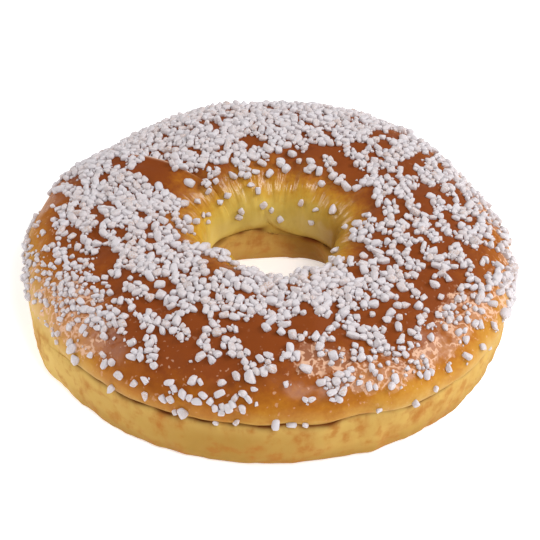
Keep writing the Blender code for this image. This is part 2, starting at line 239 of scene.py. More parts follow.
@dataclass(frozen=True)
class RingForm:
    """The ring's own form, the same sizes and curves as the solid it stands for, in metres.

    The waves are a count round the ring, a height and the azimuth of a peak in degrees. The swellings,
    the seam's strengths and its closings are an azimuth, a height or a share, and a half width in degrees.
    """

    ring_radius: float = 0.1135
    centre_shift: tuple[float, float] = (0.0013, -0.0017)
    crest_radius: float = 0.0590
    hole_radius: float = 0.0275
    ring_height: float = 0.0510
    widest_height: float = 0.0250
    throat_height: float = 0.0245
    outer_base_radius: float = 0.1065
    inner_base_radius: float = 0.0355
    outer_seam_height: float = 0.0218
    inner_seam_height: float = 0.0200
    outer_foot_fullness: float = 2.9
    inner_foot_fullness: float = 1.3
    outer_dome_fullness: float = 2.05
    inner_dome_fullness: float = 2.45
    seam_depth: float = 0.0030
    seam_width: float = 0.0010
    foot_setback: float = 0.0014
    seam_undercut: float = 0.0022
    inner_lip: float = 0.0010
    dome_turning: float = 0.22
    join_azimuth: float = math.radians(141)
    join_step: float = 0.0036
    join_slant: float = math.radians(26)
    join_fade: float = math.radians(13)
    join_sharpness: float = math.radians(0.35)
    join_lip: float = 0.0010
    join_lip_width: float = math.radians(1.7)
    join_crossing: float = 0.57
    join_half_height: float = 0.19
    cleft_azimuth: float = math.radians(91)
    cleft_depth: float = 0.0030
    cleft_spread: float = math.radians(9)
    cleft_slant: float = math.radians(55)
    cleft_crossing: float = 0.93
    cleft_half_height: float = 0.16
    lump_height: float = 0.0009
    lump_waves: tuple[tuple[float, ...], ...] = (
        (1.0, 6, 2.2, 0.6, 2, 0.4),
        (0.7, 11, -3.1, 2.1, 1, 0.0),
        (0.5, 17, 5.0, 4.0, 1, 0.0),
    )
    outline_waves: Waves = ((3, 0.0018, 316), (4, 0.0015, 338), (5, 0.0007, 9))
    hole_waves: Waves = ((1, 0.0013, 0), (2, 0.0019, 348), (3, 0.0027, 37))
    crest_waves: Waves = ((1, 0.0017, 189), (2, 0.0014, 80), (3, 0.0010, 5))
    inner_seam_waves: Waves = ((1, 0.0008, 131), (2, 0.0018, 74), (3, 0.0028, 355))
    outline_swellings: Waves = (
        (28, 0.0012, 14),
        (136, -0.0020, 7),
        (153, 0.0026, 10),
        (203, 0.0012, 9),
        (236, -0.0024, 20),
    )
    foot_swellings: Waves = ((204, 0.0028, 10), (236, 0.0024, 20), (270, 0.0012, 55))
    seam_swellings: Waves = ((228, 0.0024, 14), (258, 0.0030, 48), (273, 0.0012, 4), (292, 0.0030, 7))
    widest_swellings: Waves = ((265, 0.0042, 60),)
    least_seam: float = 0.25
    seam_strengths: Waves = ((238, 0.55, 20), (268, 0.20, 30))
    seam_closings: Waves = ((201, 0.92, 13),)

    @staticmethod
    def waves(azimuth: np.ndarray, terms: Waves) -> np.ndarray:
        """Adds up a few waves round the ring.

        Args:
            azimuth: Where to measure, in radians.
            terms: The count round the ring, the height and the azimuth of the peak in degrees.

        Returns:
            The height of the waves at each azimuth.
        """
        return sum(height * np.cos(count * (azimuth - math.radians(peak))) for count, height, peak in terms)

    @staticmethod
    def swellings(azimuth: np.ndarray, terms: Waves) -> np.ndarray:
        """Adds up a few local swellings round the ring.

        Args:
            azimuth: Where to measure, in radians.
            terms: The azimuth in degrees, the height and the half width in degrees.

        Returns:
            The height of the swellings at each azimuth.
        """
        return sum(
            height * bump(turn_between(azimuth, math.radians(at)), 0.0, math.radians(width))
            for at, height, width in terms
        )

    def outer_radius(self, azimuth: np.ndarray) -> np.ndarray:
        """Gives the widest radius of the crust at each azimuth, in metres."""
        outline = self.waves(azimuth, self.outline_waves) + self.swellings(azimuth, self.outline_swellings)
        return self.ring_radius + outline

    def seam_height(self, azimuth: np.ndarray) -> np.ndarray:
        """Gives the height of the outer seam, which rises in front."""
        return self.outer_seam_height + self.swellings(azimuth, self.seam_swellings)

    def seam_openness(self, azimuth: np.ndarray) -> np.ndarray:
        """Gives the share of the outer seam that the crust leaves open."""
        return 1 - self.swellings(azimuth, self.seam_closings)

    def seam_strength(self, azimuth: np.ndarray) -> np.ndarray:
        """Says how deep the outer seam is: it gapes in front on the left and nearly closes elsewhere."""
        strength = self.least_seam + self.swellings(azimuth, self.seam_strengths)
        return strength * self.seam_openness(azimuth)

    def inner_seam(self, azimuth: np.ndarray) -> np.ndarray:
        """Gives the height of the seam on the wall of the hole."""
        return self.inner_seam_height + self.waves(azimuth, self.inner_seam_waves)

    def groove(self, distance: np.ndarray) -> np.ndarray:
        """Makes a sharp V with rounded shoulders, 1 at the seam and 0 well away from it."""
        return np.exp(-np.abs(distance) / self.seam_width)

    @staticmethod
    def foot(
        share: float,
        base_radius: np.ndarray,
        seam_radius: np.ndarray,
        seam_height: np.ndarray,
        fullness: float,
    ) -> tuple[np.ndarray, np.ndarray]:
        """Draws the foot, from the edge of the flat base up to the seam.

        Args:
            share: The share of the way up, 0 at the base and 1 at the seam.
            base_radius: The radius of the base's edge.
            seam_radius: The radius at the seam.
            seam_height: The seam's height.
            fullness: How square the foot is.

        Returns:
            The radius and the height at each azimuth.
        """
        angle = share * math.pi / 2
        rise = 1 - max(math.cos(angle), 0.0) ** (2 / fullness)
        run = math.sin(angle) ** (2 / fullness)
        return base_radius + (seam_radius - base_radius) * run, seam_height * rise

    def dome(
        self,
        azimuth: np.ndarray,
        share: float,
        widest: tuple[np.ndarray, np.ndarray],
        seam: tuple[np.ndarray, np.ndarray],
        fullness: float,
    ) -> tuple[np.ndarray, np.ndarray]:
        """Draws the risen crust, from the seam past its widest part up to the crest.

        Args:
            azimuth: Where round the ring, in radians.
            share: The share of the way, 0 at the seam and 1 at the crest.
            widest: The radius and the height where the crust stands out furthest.
            seam: The radius and the height of the seam.
            fullness: How square the dome is.

        Returns:
            The radius and the height at each azimuth.
        """
        crest_height = self.ring_height + self.waves(azimuth, self.crest_waves)
        if share < self.dome_turning:
            below = share / self.dome_turning
            radius = seam[0] + (widest[0] - seam[0]) * math.sin(below * math.pi / 2)
            return radius, seam[1] + (widest[1] - seam[1]) * below
        angle = (share - self.dome_turning) / (1 - self.dome_turning) * math.pi / 2
        outward = max(math.cos(angle), 0.0) ** (2 / fullness)
        upward = math.sin(angle) ** (2 / fullness)
        radius = self.crest_radius + (widest[0] - self.crest_radius) * outward
        return radius, widest[1] + (crest_height - widest[1]) * upward

    def outer_curve(
        self, azimuth: np.ndarray, stretch: Stretch, share: float
    ) -> tuple[np.ndarray, np.ndarray]:
        """Draws the outside of the ring.

        Args:
            azimuth: Where round the ring, in radians.
            stretch: The outer foot or the outer dome.
            share: The share of the way along the stretch, upwards.

        Returns:
            The radius and the height at each azimuth.
        """
        seam_height = self.seam_height(azimuth)
        widest = self.outer_radius(azimuth)
        strength, openness = self.seam_strength(azimuth), self.seam_openness(azimuth)
        swelling = self.swellings(azimuth, self.foot_swellings)
        drawn_in = widest - self.seam_undercut
        if stretch is Stretch.OUTER_FOOT:
            seam_radius = drawn_in - self.foot_setback * strength + swelling
            base_radius = self.outer_base_radius + widest - self.ring_radius + swelling
            fullness = self.outer_foot_fullness
            radius, height = self.foot(share, base_radius, seam_radius, seam_height, fullness)
        else:
            seam = (drawn_in + swelling * (1 - openness), seam_height)
            at_widest = (widest, self.widest_height + self.swellings(azimuth, self.widest_swellings))
            radius, height = self.dome(azimuth, share, at_widest, seam, self.outer_dome_fullness)
        return radius - self.seam_depth * strength * self.groove(height - seam_height), height

    def inner_curve(
        self, azimuth: np.ndarray, stretch: Stretch, share: float
    ) -> tuple[np.ndarray, np.ndarray]:
        """Draws the wall of the hole.

        Args:
            azimuth: Where round the ring, in radians.
            stretch: The inner foot or the inner dome.
            share: The share of the way along the stretch, upwards.

        Returns:
            The radius and the height at each azimuth.
        """
        seam_height = self.inner_seam(azimuth)
        throat = self.hole_radius + self.waves(azimuth, self.hole_waves)
        if stretch is Stretch.INNER_FOOT:
            seam_radius = throat - self.inner_lip
            base_radius = self.inner_base_radius + self.waves(azimuth, self.hole_waves)
            fullness = self.inner_foot_fullness
            radius, height = self.foot(share, base_radius, seam_radius, seam_height, fullness)
        else:
            narrowest = (throat, self.throat_height + self.waves(azimuth, self.inner_seam_waves))
            seam = (throat, seam_height)
            radius, height = self.dome(azimuth, share, narrowest, seam, self.inner_dome_fullness)
        return radius + self.seam_depth / 2 * self.groove(height - seam_height), height

    def join_relief(self, azimuth: np.ndarray, crossing: np.ndarray) -> np.ndarray:
        """Makes the step where one end of the rolled dough lies over the other.

        Args:
            azimuth: Where round the ring, in radians.
            crossing: Where over the section.

        Returns:
            The height of the relief.
        """
        turn = turn_between(azimuth, self.join_line(crossing))
        window = np.exp(-(((crossing - self.join_crossing) / self.join_half_height) ** 4))
        side = np.tanh(turn / self.join_sharpness)
        step = self.join_step / 2 * side * np.exp(-np.abs(turn) / self.join_fade)
        lip = self.join_lip * side * np.exp(-np.abs(turn) / self.join_lip_width)
        return (step + lip) * window

    def join_line(self, crossing: np.ndarray) -> np.ndarray:
        """Gives the azimuth at which the join crosses each part of the section."""
        return self.join_azimuth - self.join_slant * (crossing - 0.5)

    def cleft_relief(self, azimuth: np.ndarray, crossing: np.ndarray) -> np.ndarray:
        """Makes the soft upright dent between two folds of dough on the far wall of the hole.

        Args:
            azimuth: Where round the ring, in radians.
            crossing: Where over the section.

        Returns:
            The height of the relief.
        """
        slant = self.cleft_slant * (crossing - self.cleft_crossing)
        turn = turn_between(azimuth, self.cleft_azimuth - slant)
        window = bump(crossing, self.cleft_crossing, self.cleft_half_height)
        return -self.cleft_depth * np.exp(-np.abs(turn) / self.cleft_spread) * window

    def lump_relief(self, azimuth: np.ndarray, crossing: np.ndarray) -> np.ndarray:
        """Makes the low lumps all over the crust, from waves that run round the ring and across it.

        Args:
            azimuth: Where round the ring, in radians.
            crossing: Where over the section.

        Returns:
            The height of the relief.
        """
        across = crossing * math.pi
        return self.lump_height * sum(
            share * np.sin(lumps * azimuth + lean * across + start) * np.sin(rows * across + shift)
            for share, lumps, lean, start, rows, shift in self.lump_waves
        )


@dataclass(frozen=True)
class Station:
    """One station of the section: its stretch, the share of the way along it and its crossing."""

    stretch: Stretch
    share: float
    crossing: float


@dataclass
class CrustSurface:
    """The fine surface of the ring: its points, the outward directions and where each point lies."""

    form: RingForm = field(default_factory=RingForm)
    columns: int = 640
    foot_steps: int = 26
    outer_dome_steps: int = 64
    inner_dome_steps: int = 40
    inner_foot_steps: int = 14
    base_steps: int = 10
    even_steps: int = 7200
    grading: float = 1.25
    join_crowding: float = 3.0
    join_reach: float = math.radians(4)
    lean_reach: float = math.radians(34)
    outer_relief: Span = (0.0, 0.05)
    inner_relief: Span = (1.0, 0.97)
    cleft_on_foot: Span = (0.2, 1.0)
    closing_passes: int = 120
    closing_share: float = 1.3
    closing_reach: float = 0.007
    undulation: Ripple = Ripple(0.00030, 0.024, 3)
    ripple: Ripple = Ripple(0.00010, 0.009, 5)
    crinkle: Ripple = Ripple(0.00012, 0.0030, 7)
    wall_wrinkle: Ripple = Ripple(0.00022, 0.0045, 11)
    wall_crossing: float = 0.70
    wall_spread: float = 0.12
    wall_stretch: Triple = (1, 1, 0.18)
    foot_wrinkle: float = 0.00022
    foot_creases: Ripple = Ripple(1.0, 0.011, 13)
    foot_dimples: Ripple = Ripple(0.6, 0.005, 17)
    foot_stretch: Triple = (1, 1, 0.25)
    plain_foot: float = 0.25
    outer_unrolled: float = 0.110
    inner_unrolled: float = 0.036
    film_zones: Places = (
        (283, 0.33, 8, 0.050),
        (296, 0.25, 8, 0.060),
        (327, 0.29, 9, 0.065),
        (312, 0.25, 7, 0.045),
        (213, 0.26, 15, 0.100),
        (345, 0.20, 12, 0.060),
        (20, 0.24, 20, 0.060),
        (197, 0.19, 10, 0.070),
        (130, 0.22, 22, 0.080),
    )

    def __post_init__(self) -> None:
        """Works the surface out once, for the crust and the sugar that lies on it."""
        self.stations = self.make_stations()
        self.crossing = np.array([station.crossing for station in self.stations])[:, None]
        self.azimuth = self.make_azimuths()
        self.on_foot = np.array(
            [station.stretch in (Stretch.OUTER_FOOT, Stretch.INNER_FOOT) for station in self.stations]
        )[:, None]
        self.height_share = np.array([station.share for station in self.stations])[:, None]
        self.inner = np.array(
            [station.stretch in (Stretch.INNER_FOOT, Stretch.INNER_DOME) for station in self.stations]
        )[:, None]
        self.points = self.make_points()
        self.normals = self.make_normals(self.points)

    def make_azimuths(self) -> np.ndarray:
        """Spreads the columns round the ring so that they crowd and lean along the join.

        Returns:
            The azimuth of each point, one row for each station.
        """
        even = np.linspace(0, 2 * math.pi, self.even_steps + 1)
        near = bump(turn_between(even, self.form.join_azimuth), 0.0, self.join_reach)
        passed = np.cumsum(1 + self.join_crowding * near)
        shares = np.linspace(passed[0], passed[-1], self.columns, endpoint=False)
        columns = np.interp(shares, passed, even)[None, :]
        lean = bump(turn_between(columns, self.form.join_azimuth), 0.0, self.lean_reach)
        return columns + lean * (self.form.join_line(self.crossing) - self.form.join_azimuth)

    @staticmethod
    def foot_shares(steps: int, fullness: float) -> np.ndarray:
        """Makes the shares of a foot whose heights crowd at the base and at the seam.

        Args:
            steps: How many steps there are.
            fullness: How square the foot is.

        Returns:
            The shares, one more than the steps.
        """
        rise = (1 - np.cos(np.linspace(0, math.pi, steps + 1))) / 2
        return np.arccos(np.clip((1 - rise) ** (fullness / 2), 0, 1)) / (math.pi / 2)

    def graded(self, steps: int, towards_start: bool) -> np.ndarray:
        """Makes shares from 0 to 1 that crowd towards one end.

        Args:
            steps: How many steps there are.
            towards_start: Whether they crowd towards 0.

        Returns:
            The shares, one more than the steps.
        """
        even = np.linspace(0, 1, steps + 1)
        return even**self.grading if towards_start else 1 - (1 - even) ** self.grading

    def make_stations(self) -> list[Station]:
        """Lists the stations of a section, from the outer edge of the base to the inner edge.

        Returns:
            The stations, in order.
        """
        outer, inner = self.form.outer_foot_fullness, self.form.inner_foot_fullness
        first = self.foot_shares(self.foot_steps, outer)
        made = [Station(Stretch.OUTER_FOOT, share, 0.0) for share in first]
        up = self.graded(self.outer_dome_steps, True)[1:]
        made += [Station(Stretch.OUTER_DOME, share, share / 2) for share in up]
        down = self.graded(self.inner_dome_steps, True)[::-1][1:]
        made += [Station(Stretch.INNER_DOME, share, 1 - share / 2) for share in down]
        last = self.foot_shares(self.inner_foot_steps, inner)[::-1][1:]
        made += [Station(Stretch.INNER_FOOT, share, 1.0) for share in last]
        return made

    def crinkle_zone(self) -> np.ndarray:
        """Says where the egg wash dried into a crinkled skin.

        Returns:
            The share of the skin at each point, from 0 to 1.
        """
        total = np.zeros(self.azimuth.shape)
        for at, middle, width, spread in self.film_zones:
            turn = turn_between(self.azimuth, math.radians(at)) / math.radians(width)
            total += np.exp(-(turn**4)) * bump(self.crossing, middle, spread)
        return np.clip(total, 0, 1) * ~self.on_foot

    def fine_relief(self, plain: np.ndarray) -> np.ndarray:
        """Works out the relief of the dough and its skin that is too fine for the solid.

        Args:
            plain: The points of the plain surface.

        Returns:
            The height of the relief at each point.
        """
        unrolled = self.ring_places(plain)
        relief = self.undulation.over(plain) + self.ripple.over(plain)
        relief = relief + self.crinkle.over(plain, self.crinkle_zone())
        wall = np.where(self.inner, bump(self.crossing, self.wall_crossing, self.wall_spread), 0.0)
        relief = relief + self.wall_wrinkle.over(unrolled * self.wall_stretch, wall)
        foot = np.where(self.on_foot, np.sin(self.height_share * math.pi) ** 0.5, 0.0)
        wrinkles = self.foot_creases.over(unrolled * self.foot_stretch) + self.foot_dimples.over(plain)
        relief = relief + self.foot_wrinkle * foot * wrinkles
        near_base = np.where(self.on_foot, smooth_step(self.height_share, 0.0, self.plain_foot), 1.0)
        return relief * near_base

    def ring_places(self, points: np.ndarray) -> np.ndarray:
        """Unrolls the surface: two values run round the ring, and the third over the section.

        Args:
            points: The points of the surface.

        Returns:
            The unrolled places, in metres along the surface.
        """
        steps = np.linalg.norm(np.diff(points, axis=0), axis=-1)
        along = np.concatenate([np.zeros((1, self.columns)), np.cumsum(steps, axis=0)])
        radius = np.where(self.inner, self.inner_unrolled, self.outer_unrolled)
        return np.stack([radius * np.cos(self.azimuth), radius * np.sin(self.azimuth), along], axis=-1)

    def make_points(self) -> np.ndarray:
        """Makes the points of the finished surface.

        Returns:
            The points, one row for each station and one column for each azimuth.
        """
        form, azimuth = self.form, self.azimuth
        drawn = []
        for station, row, inner in zip(self.stations, azimuth, self.inner[:, 0]):
            curve = form.inner_curve if inner else form.outer_curve
            drawn.append(curve(row, station.stretch, station.share))
        radius = np.array([pair[0] for pair in drawn])
        height = np.array([pair[1] for pair in drawn])
        plain = np.stack([radius * np.cos(azimuth), radius * np.sin(azimuth), height], axis=-1)
        shaped = form.join_relief(azimuth, self.crossing) + form.lump_relief(azimuth, self.crossing)
        window = smooth_step(self.crossing, *self.outer_relief)
        window = window * smooth_step(self.crossing, *self.inner_relief)
        relief = np.where(self.on_foot, 0.0, shaped * window) + self.fine_relief(plain)
        below = np.where(self.on_foot, smooth_step(self.height_share, *self.cleft_on_foot), 1.0)
        relief = relief + np.where(self.inner, form.cleft_relief(azimuth, self.crossing) * below, 0.0)
        along_radius, along_height = np.gradient(radius, axis=0), np.gradient(height, axis=0)
        length = np.hypot(along_radius, along_height)
        radius = radius + relief * along_height / length
        height = np.maximum(height - relief * along_radius / length, 0.0)
        across = radius * np.cos(azimuth) + form.centre_shift[0]
        deep = radius * np.sin(azimuth) + form.centre_shift[1]
        return self.close_seam(np.stack([across, deep, height], axis=-1))

    def close_seam(self, points: np.ndarray) -> np.ndarray:
        """Rounds the crust over the seam where the dough has grown together.

        Args:
            points: The points of the surface.

        Returns:
            The points, moved near the closed part of the seam.
        """
        rounded = points.copy()
        for _ in range(self.closing_passes):
            rounded[1:-1] = (rounded[:-2] + 2 * rounded[1:-1] + rounded[2:]) / 4
        closed = np.clip(self.closing_share * (1 - self.form.seam_openness(self.azimuth)), 0, 1)
        near = bump(points[..., 2] - self.form.seam_height(self.azimuth), 0.0, self.closing_reach)
        share = np.where(self.inner, 0.0, closed * near)[..., None]
        return points * (1 - share) + rounded * share

    @staticmethod
    def make_normals(points: np.ndarray) -> np.ndarray:
        """Works out the outward direction at each point.

        Args:
            points: The points of the surface.

        Returns:
            Unit vectors in the same order.
        """
        round_the_ring = np.roll(points, -1, axis=1) - np.roll(points, 1, axis=1)
        over_the_ring = np.gradient(points, axis=0)
        normals = np.cross(round_the_ring, over_the_ring)
        lengths = np.linalg.norm(normals, axis=-1, keepdims=True)
        return normals / np.maximum(lengths, np.finfo(float).tiny)

    def base_rows(self) -> np.ndarray:
        """Makes the points of the flat base between its inner and its outer edge.

        Returns:
            The points, row by row.
        """
        inner, outer = self.points[-1], self.points[0]
        return np.array(
            [inner + (outer - inner) * step / self.base_steps for step in range(1, self.base_steps)]
        )


class Nodes:
    """A short hand for building a material's nodes in order.

    The two constants are the places of a Mix node's colours among its sockets.
    """

    MIXED_COLOURS = (6, 7)
    MIXED_RESULT = 2

    def __init__(self, name: str) -> None:
        """Starts a material with a Principled shader.

        Args:
            name: The material's name.
        """
        self.material = bpy.data.materials.new(name)
        self.material.use_nodes = True
        self.tree = self.material.node_tree
        self.shader = self.tree.nodes["Principled BSDF"]

    def add(self, kind: str, **settings: object) -> bpy.types.Node:
        """Adds a node.

        Args:
            kind: The node's type, without its prefix ShaderNode.
            **settings: Properties to set on the node.

        Returns:
            The new node.
        """
        node = self.tree.nodes.new("ShaderNode" + kind)
        for name, value in settings.items():
            setattr(node, name, value)
        return node

    def put(self, value: object, socket: Socket) -> None:
        """Links an output to a socket, or sets the socket to a plain value.

        Args:
            value: The output or the plain value.
            socket: The socket that takes it.
        """
        if isinstance(value, Socket):
            self.tree.links.new(value, socket)
        else:
            socket.default_value = value

    def attribute(self, name: str) -> Socket:
        """Reads a value that the mesh holds at each point."""
        return self.add("Attribute", attribute_name=name).outputs["Fac"]

    def place(self, name: str) -> Socket:
        """Reads a place that the mesh holds at each point."""
        return self.add("Attribute", attribute_name=name).outputs["Vector"]

    def stretched(self, place: Socket, scale: Triple) -> Socket:
        """Scales a place along its three axes.

        Args:
            place: The place to scale.
            scale: The factor along each axis.

        Returns:
            The scaled place.
        """
        node = self.add("VectorMath", operation="MULTIPLY")
        self.put(place, node.inputs[0])
        node.inputs[1].default_value = scale
        return node.outputs["Vector"]

    def noise(self, place: Socket, mottle: Mottle) -> Socket:
        """Adds a noise.

        Args:
            place: Where the noise is read.
            mottle: The size of its blobs and its finer layers.

        Returns:
            The noise, from 0 to 1.
        """
        node = self.add("TexNoise")
        self.put(place, node.inputs["Vector"])
        node.inputs["Scale"].default_value = 1 / mottle.size
        node.inputs["Detail"].default_value = mottle.detail
        node.inputs["Roughness"].default_value = mottle.roughness
        return node.outputs["Fac"]

    def centred(self, place: Socket, mottle: Mottle) -> Socket:
        """Adds a noise whose values lie about 0."""
        return self.math("SUBTRACT", self.noise(place, mottle), 0.5)

    def blotches(self, place: Socket, mottle: Mottle, least: float = 0.0, most: float = 1.0) -> Socket:
        """Adds blotches with bare stretches between them.

        Args:
            place: Where the blotches are read.
            mottle: Their size, their finer layers and where in the noise they set in.
            least: The value between the blotches.
            most: The value inside the blotches.

        Returns:
            The blotches.
        """
        return self.ranged(self.noise(place, mottle), (mottle.low, mottle.high), least, most)

    def math(self, operation: str, first: object, second: object = 0.0) -> Socket:
        """Works out a value from one or two others.

        Args:
            operation: What the Math node does.
            first: Its first value.
            second: Its second value.

        Returns:
            The result.
        """
        node = self.add("Math", operation=operation)
        self.put(first, node.inputs[0])
        self.put(second, node.inputs[1])
        return node.outputs[0]

    def ranged(self, value: object, span: Span, start: float = 0.0, end: float = 1.0) -> Socket:
        """Maps a value smoothly from one range to another, and holds it at the ends.

        Args:
            value: The value to map.
            span: The two ends of its range.
            start: The result at the first end.
            end: The result at the second end.

        Returns:
            The mapped value.
        """
        node = self.add("MapRange", interpolation_type="SMOOTHSTEP")
        self.put(value, node.inputs["Value"])
        node.inputs["From Min"].default_value = span[0]
        node.inputs["From Max"].default_value = span[1]
        node.inputs["To Min"].default_value = start
        node.inputs["To Max"].default_value = end
        return node.outputs["Result"]

    def mix(self, share: object, first: object, second: object) -> Socket:
        """Mixes two colours.

        Args:
            share: How much of the second there is.
            first: The first colour.
            second: The second colour.

        Returns:
            The mixed colour.
        """
        node = self.add("Mix", data_type="RGBA")
        self.put(share, node.inputs["Factor"])
        for value, index in zip((first, second), self.MIXED_COLOURS):
            self.put((*value, 1.0) if isinstance(value, tuple) else value, node.inputs[index])
        return node.outputs[self.MIXED_RESULT]

    def ramp(self, value: Socket, stops: tuple[tuple[float, Colour], ...]) -> Socket:
        """Turns a value into a colour.

        Args:
            value: The value, from 0 to 1.
            stops: The colour at each of a few values.

        Returns:
            The colour.
        """
        node = self.add("ValToRGB")
        elements = node.color_ramp.elements
        while len(elements) < len(stops):
            elements.new(0.5)
        for element, (position, colour) in zip(elements, stops):
            element.position = position
            element.color = (*colour, 1.0)
        self.put(value, node.inputs["Fac"])
        return node.outputs["Color"]

    def bumped(self, height: Socket, relief: Span, below: Socket | None = None) -> Socket:
        """Turns a height into a bumped normal.

        Args:
            height: The height, from 0 to 1.
            relief: What a height of 1 stands for, in metres, and how strongly it shows.
            below: A bumped normal that this one is laid on.

        Returns:
            The normal.
        """
        node = self.add("Bump")
        node.inputs["Distance"].default_value = relief[0]
        node.inputs["Strength"].default_value = relief[1]
        self.put(height, node.inputs["Height"])
        if below is not None:
            self.put(below, node.inputs["Normal"])
        return node.outputs["Normal"]


def from_screen(red: int, green: int, blue: int) -> Colour:
    """Turns a screen colour, from 0 to 255, into the linear colour that a shader takes.

    Args:
        red: The red value.
        green: The green value.
        blue: The blue value.

    Returns:
        The linear colour.
    """
    return tuple(
        ((value / SCREEN_LEVELS + SCREEN_OFFSET) / (1 + SCREEN_OFFSET)) ** SCREEN_POWER
        for value in (red, green, blue)
    )


@dataclass(frozen=True)
class CrustFinish:
    """The baked crust under its egg wash, from pale beside the seams to brown on top.

    The bake's stops are the colours from the outer seam over the crest to the hole. Each relief is the
    depth of a bump in metres and how strongly it shows.
    """

    bake_stops: tuple[tuple[float, Colour], ...] = (
        (0.00, from_screen(206, 164, 84)),
        (0.06, from_screen(203, 156, 72)),
        (0.11, from_screen(196, 138, 46)),
        (0.17, from_screen(180, 110, 22)),
        (0.24, from_screen(155, 82, 12)),
        (0.33, from_screen(132, 62, 14)),
        (0.50, from_screen(128, 60, 16)),
        (0.56, from_screen(132, 64, 14)),
        (0.61, from_screen(156, 88, 16)),
        (0.67, from_screen(186, 128, 28)),
        (0.73, from_screen(204, 158, 52)),
        (0.80, from_screen(212, 180, 84)),
        (0.90, from_screen(214, 188, 98)),
        (1.00, from_screen(196, 160, 74)),
    )
    # Painted shade: the darker olive brown on the right side of the hole, on its wall and foot.
    hole_shade: Colour = from_screen(128, 84, 16)
    foot: Colour = from_screen(204, 164, 86)
    # A darker foot colour: towards the bottom and in front, and painted shade on the foot inside the hole.
    foot_low: Colour = from_screen(176, 134, 60)
    # Painted light: lighter at the left end of the seam and, partly paler dough, under the outer lip.
    foot_lightened: Colour = from_screen(228, 194, 112)
    stain: Colour = from_screen(178, 110, 42)
    underside: Colour = from_screen(150, 92, 40)
    # Colour of the egg wash's dry skin and specks; painted highlight on its ripples and the join's rim.
    film_and_sheen: Colour = from_screen(228, 184, 154)
    # Painted shade: the dark line along the seams, where shade falls in the groove.
    seam_shade: Colour = from_screen(112, 58, 14)
    unevenness: tuple[tuple[Mottle, float], ...] = (
        (Mottle(0.0200, 3.0, 0.55), 0.11),
        (Mottle(0.0022, 3.0, 0.60), 0.09),
        (Mottle(0.0065, 3.0, 0.60), 0.12),
    )
    streaks: Mottle = Mottle(0.0080, 4.0, 0.60, 0.40, 0.75)
    streak_stretch: Triple = (1.0, 1.0, 0.35)
    stains: Mottle = Mottle(0.0140, 4.0, 0.60, 0.35, 0.70)
    stain_share: float = 0.95
    foot_blotches: Mottle = Mottle(0.0070, 4.0, 0.55, 0.48, 0.70)
    foot_blotch_share: float = 0.60
    specks: Mottle = Mottle(0.0021, 1.0, 0.50, 0.66, 0.74)
    base_blotches: Mottle = Mottle(0.0120, 4.0, 0.60, 0.30, 0.66)
    least_base_blotch: float = 0.45
    film_share: float = 0.90
    film_edge: Mottle = Mottle(0.0050, 4.0, 0.62)
    film_raggedness: float = 1.7
    film_start: Span = (0.42, 0.54)
    # The skin's ripple lines, painted lighter as painted highlight, and the colour between them.
    film_folds: Mottle = Mottle(0.0046, 2.0, 0.50)
    fold_width: Span = (0.018, 0.072)
    between_folds: float = 0.18
    film_islands: Mottle = Mottle(0.0085, 2.0, 0.50, 0.38, 0.48)
    between_islands: float = 0.15
    body_roughness: float = 0.50
    foot_roughness: float = 0.68
    dullness: Mottle = Mottle(0.0040, 2.0, 0.50)
    dullness_share: float = 0.16
    specular: float = 0.12
    coat_roughness: float = 0.20
    thick_coat: float = 0.75
    thin_coat: float = 0.22
    coat_under_film: float = 0.25
    coat_ior: float = 1.48
    pores: Mottle = Mottle(0.0012, 3.0, 0.60)
    pore_relief: Span = (0.00010, 0.5)
    film_relief: Span = (0.00012, 0.7)
    runs: Mottle = Mottle(0.0021, 2.0, 0.50)
    run_stretch: Triple = (1.0, 1.0, 0.16)
    run_relief: Span = (0.00080, 0.9)

    def material(self) -> bpy.types.Material:
        """Builds the crust's material from the bake that its mesh holds at each point.

        Returns:
            The material.
        """
        nodes = Nodes("baked_crust")
        place = nodes.place("surface_place")
        unrolled = nodes.place("ring_place")
        film_and_sheen = self.film_flakes(nodes, place)
        colour = self.dressed_colour(nodes, place, film_and_sheen, self.bake_colour(nodes, place, unrolled))
        bare = nodes.ranged(film_and_sheen, (0.0, 1.0), 1.0, self.coat_under_film)
        skin = self.skin(nodes, place, unrolled, film_and_sheen)
        nodes.put(colour, nodes.shader.inputs["Base Color"])
        nodes.put(self.roughness(nodes, place), nodes.shader.inputs["Roughness"])
        nodes.put(nodes.math("MULTIPLY", nodes.attribute("coat"), bare), nodes.shader.inputs["Coat Weight"])
        nodes.put(self.coat_roughness, nodes.shader.inputs["Coat Roughness"])
        nodes.put(self.coat_ior, nodes.shader.inputs["Coat IOR"])
        nodes.put(self.specular, nodes.shader.inputs["Specular IOR Level"])
        nodes.put(skin, nodes.shader.inputs["Normal"])
        nodes.put(skin, nodes.shader.inputs["Coat Normal"])
        return nodes.material

    def bake_colour(self, nodes: Nodes, place: Socket, unrolled: Socket) -> Socket:
        """Mixes the colour of the dome and of the foot below it.

        Args:
            nodes: The material's nodes.
            place: The place of the point.
            unrolled: The place of the point on the unrolled surface.

        Returns:
            The colour.
        """
        bake = nodes.attribute("bake")
        for mottle, share in self.unevenness:
            bake = nodes.math("ADD", bake, nodes.math("MULTIPLY", nodes.centred(place, mottle), share))
        dome = nodes.ramp(bake, self.bake_stops)
        streaks = nodes.blotches(nodes.stretched(unrolled, self.streak_stretch), self.streaks)
        stain = nodes.math("MULTIPLY", streaks, nodes.blotches(place, self.stains))
        # Darker towards the bottom and in front; on the foot inside the hole this is painted shade.
        foot = nodes.mix(nodes.attribute("low"), self.foot, self.foot_low)
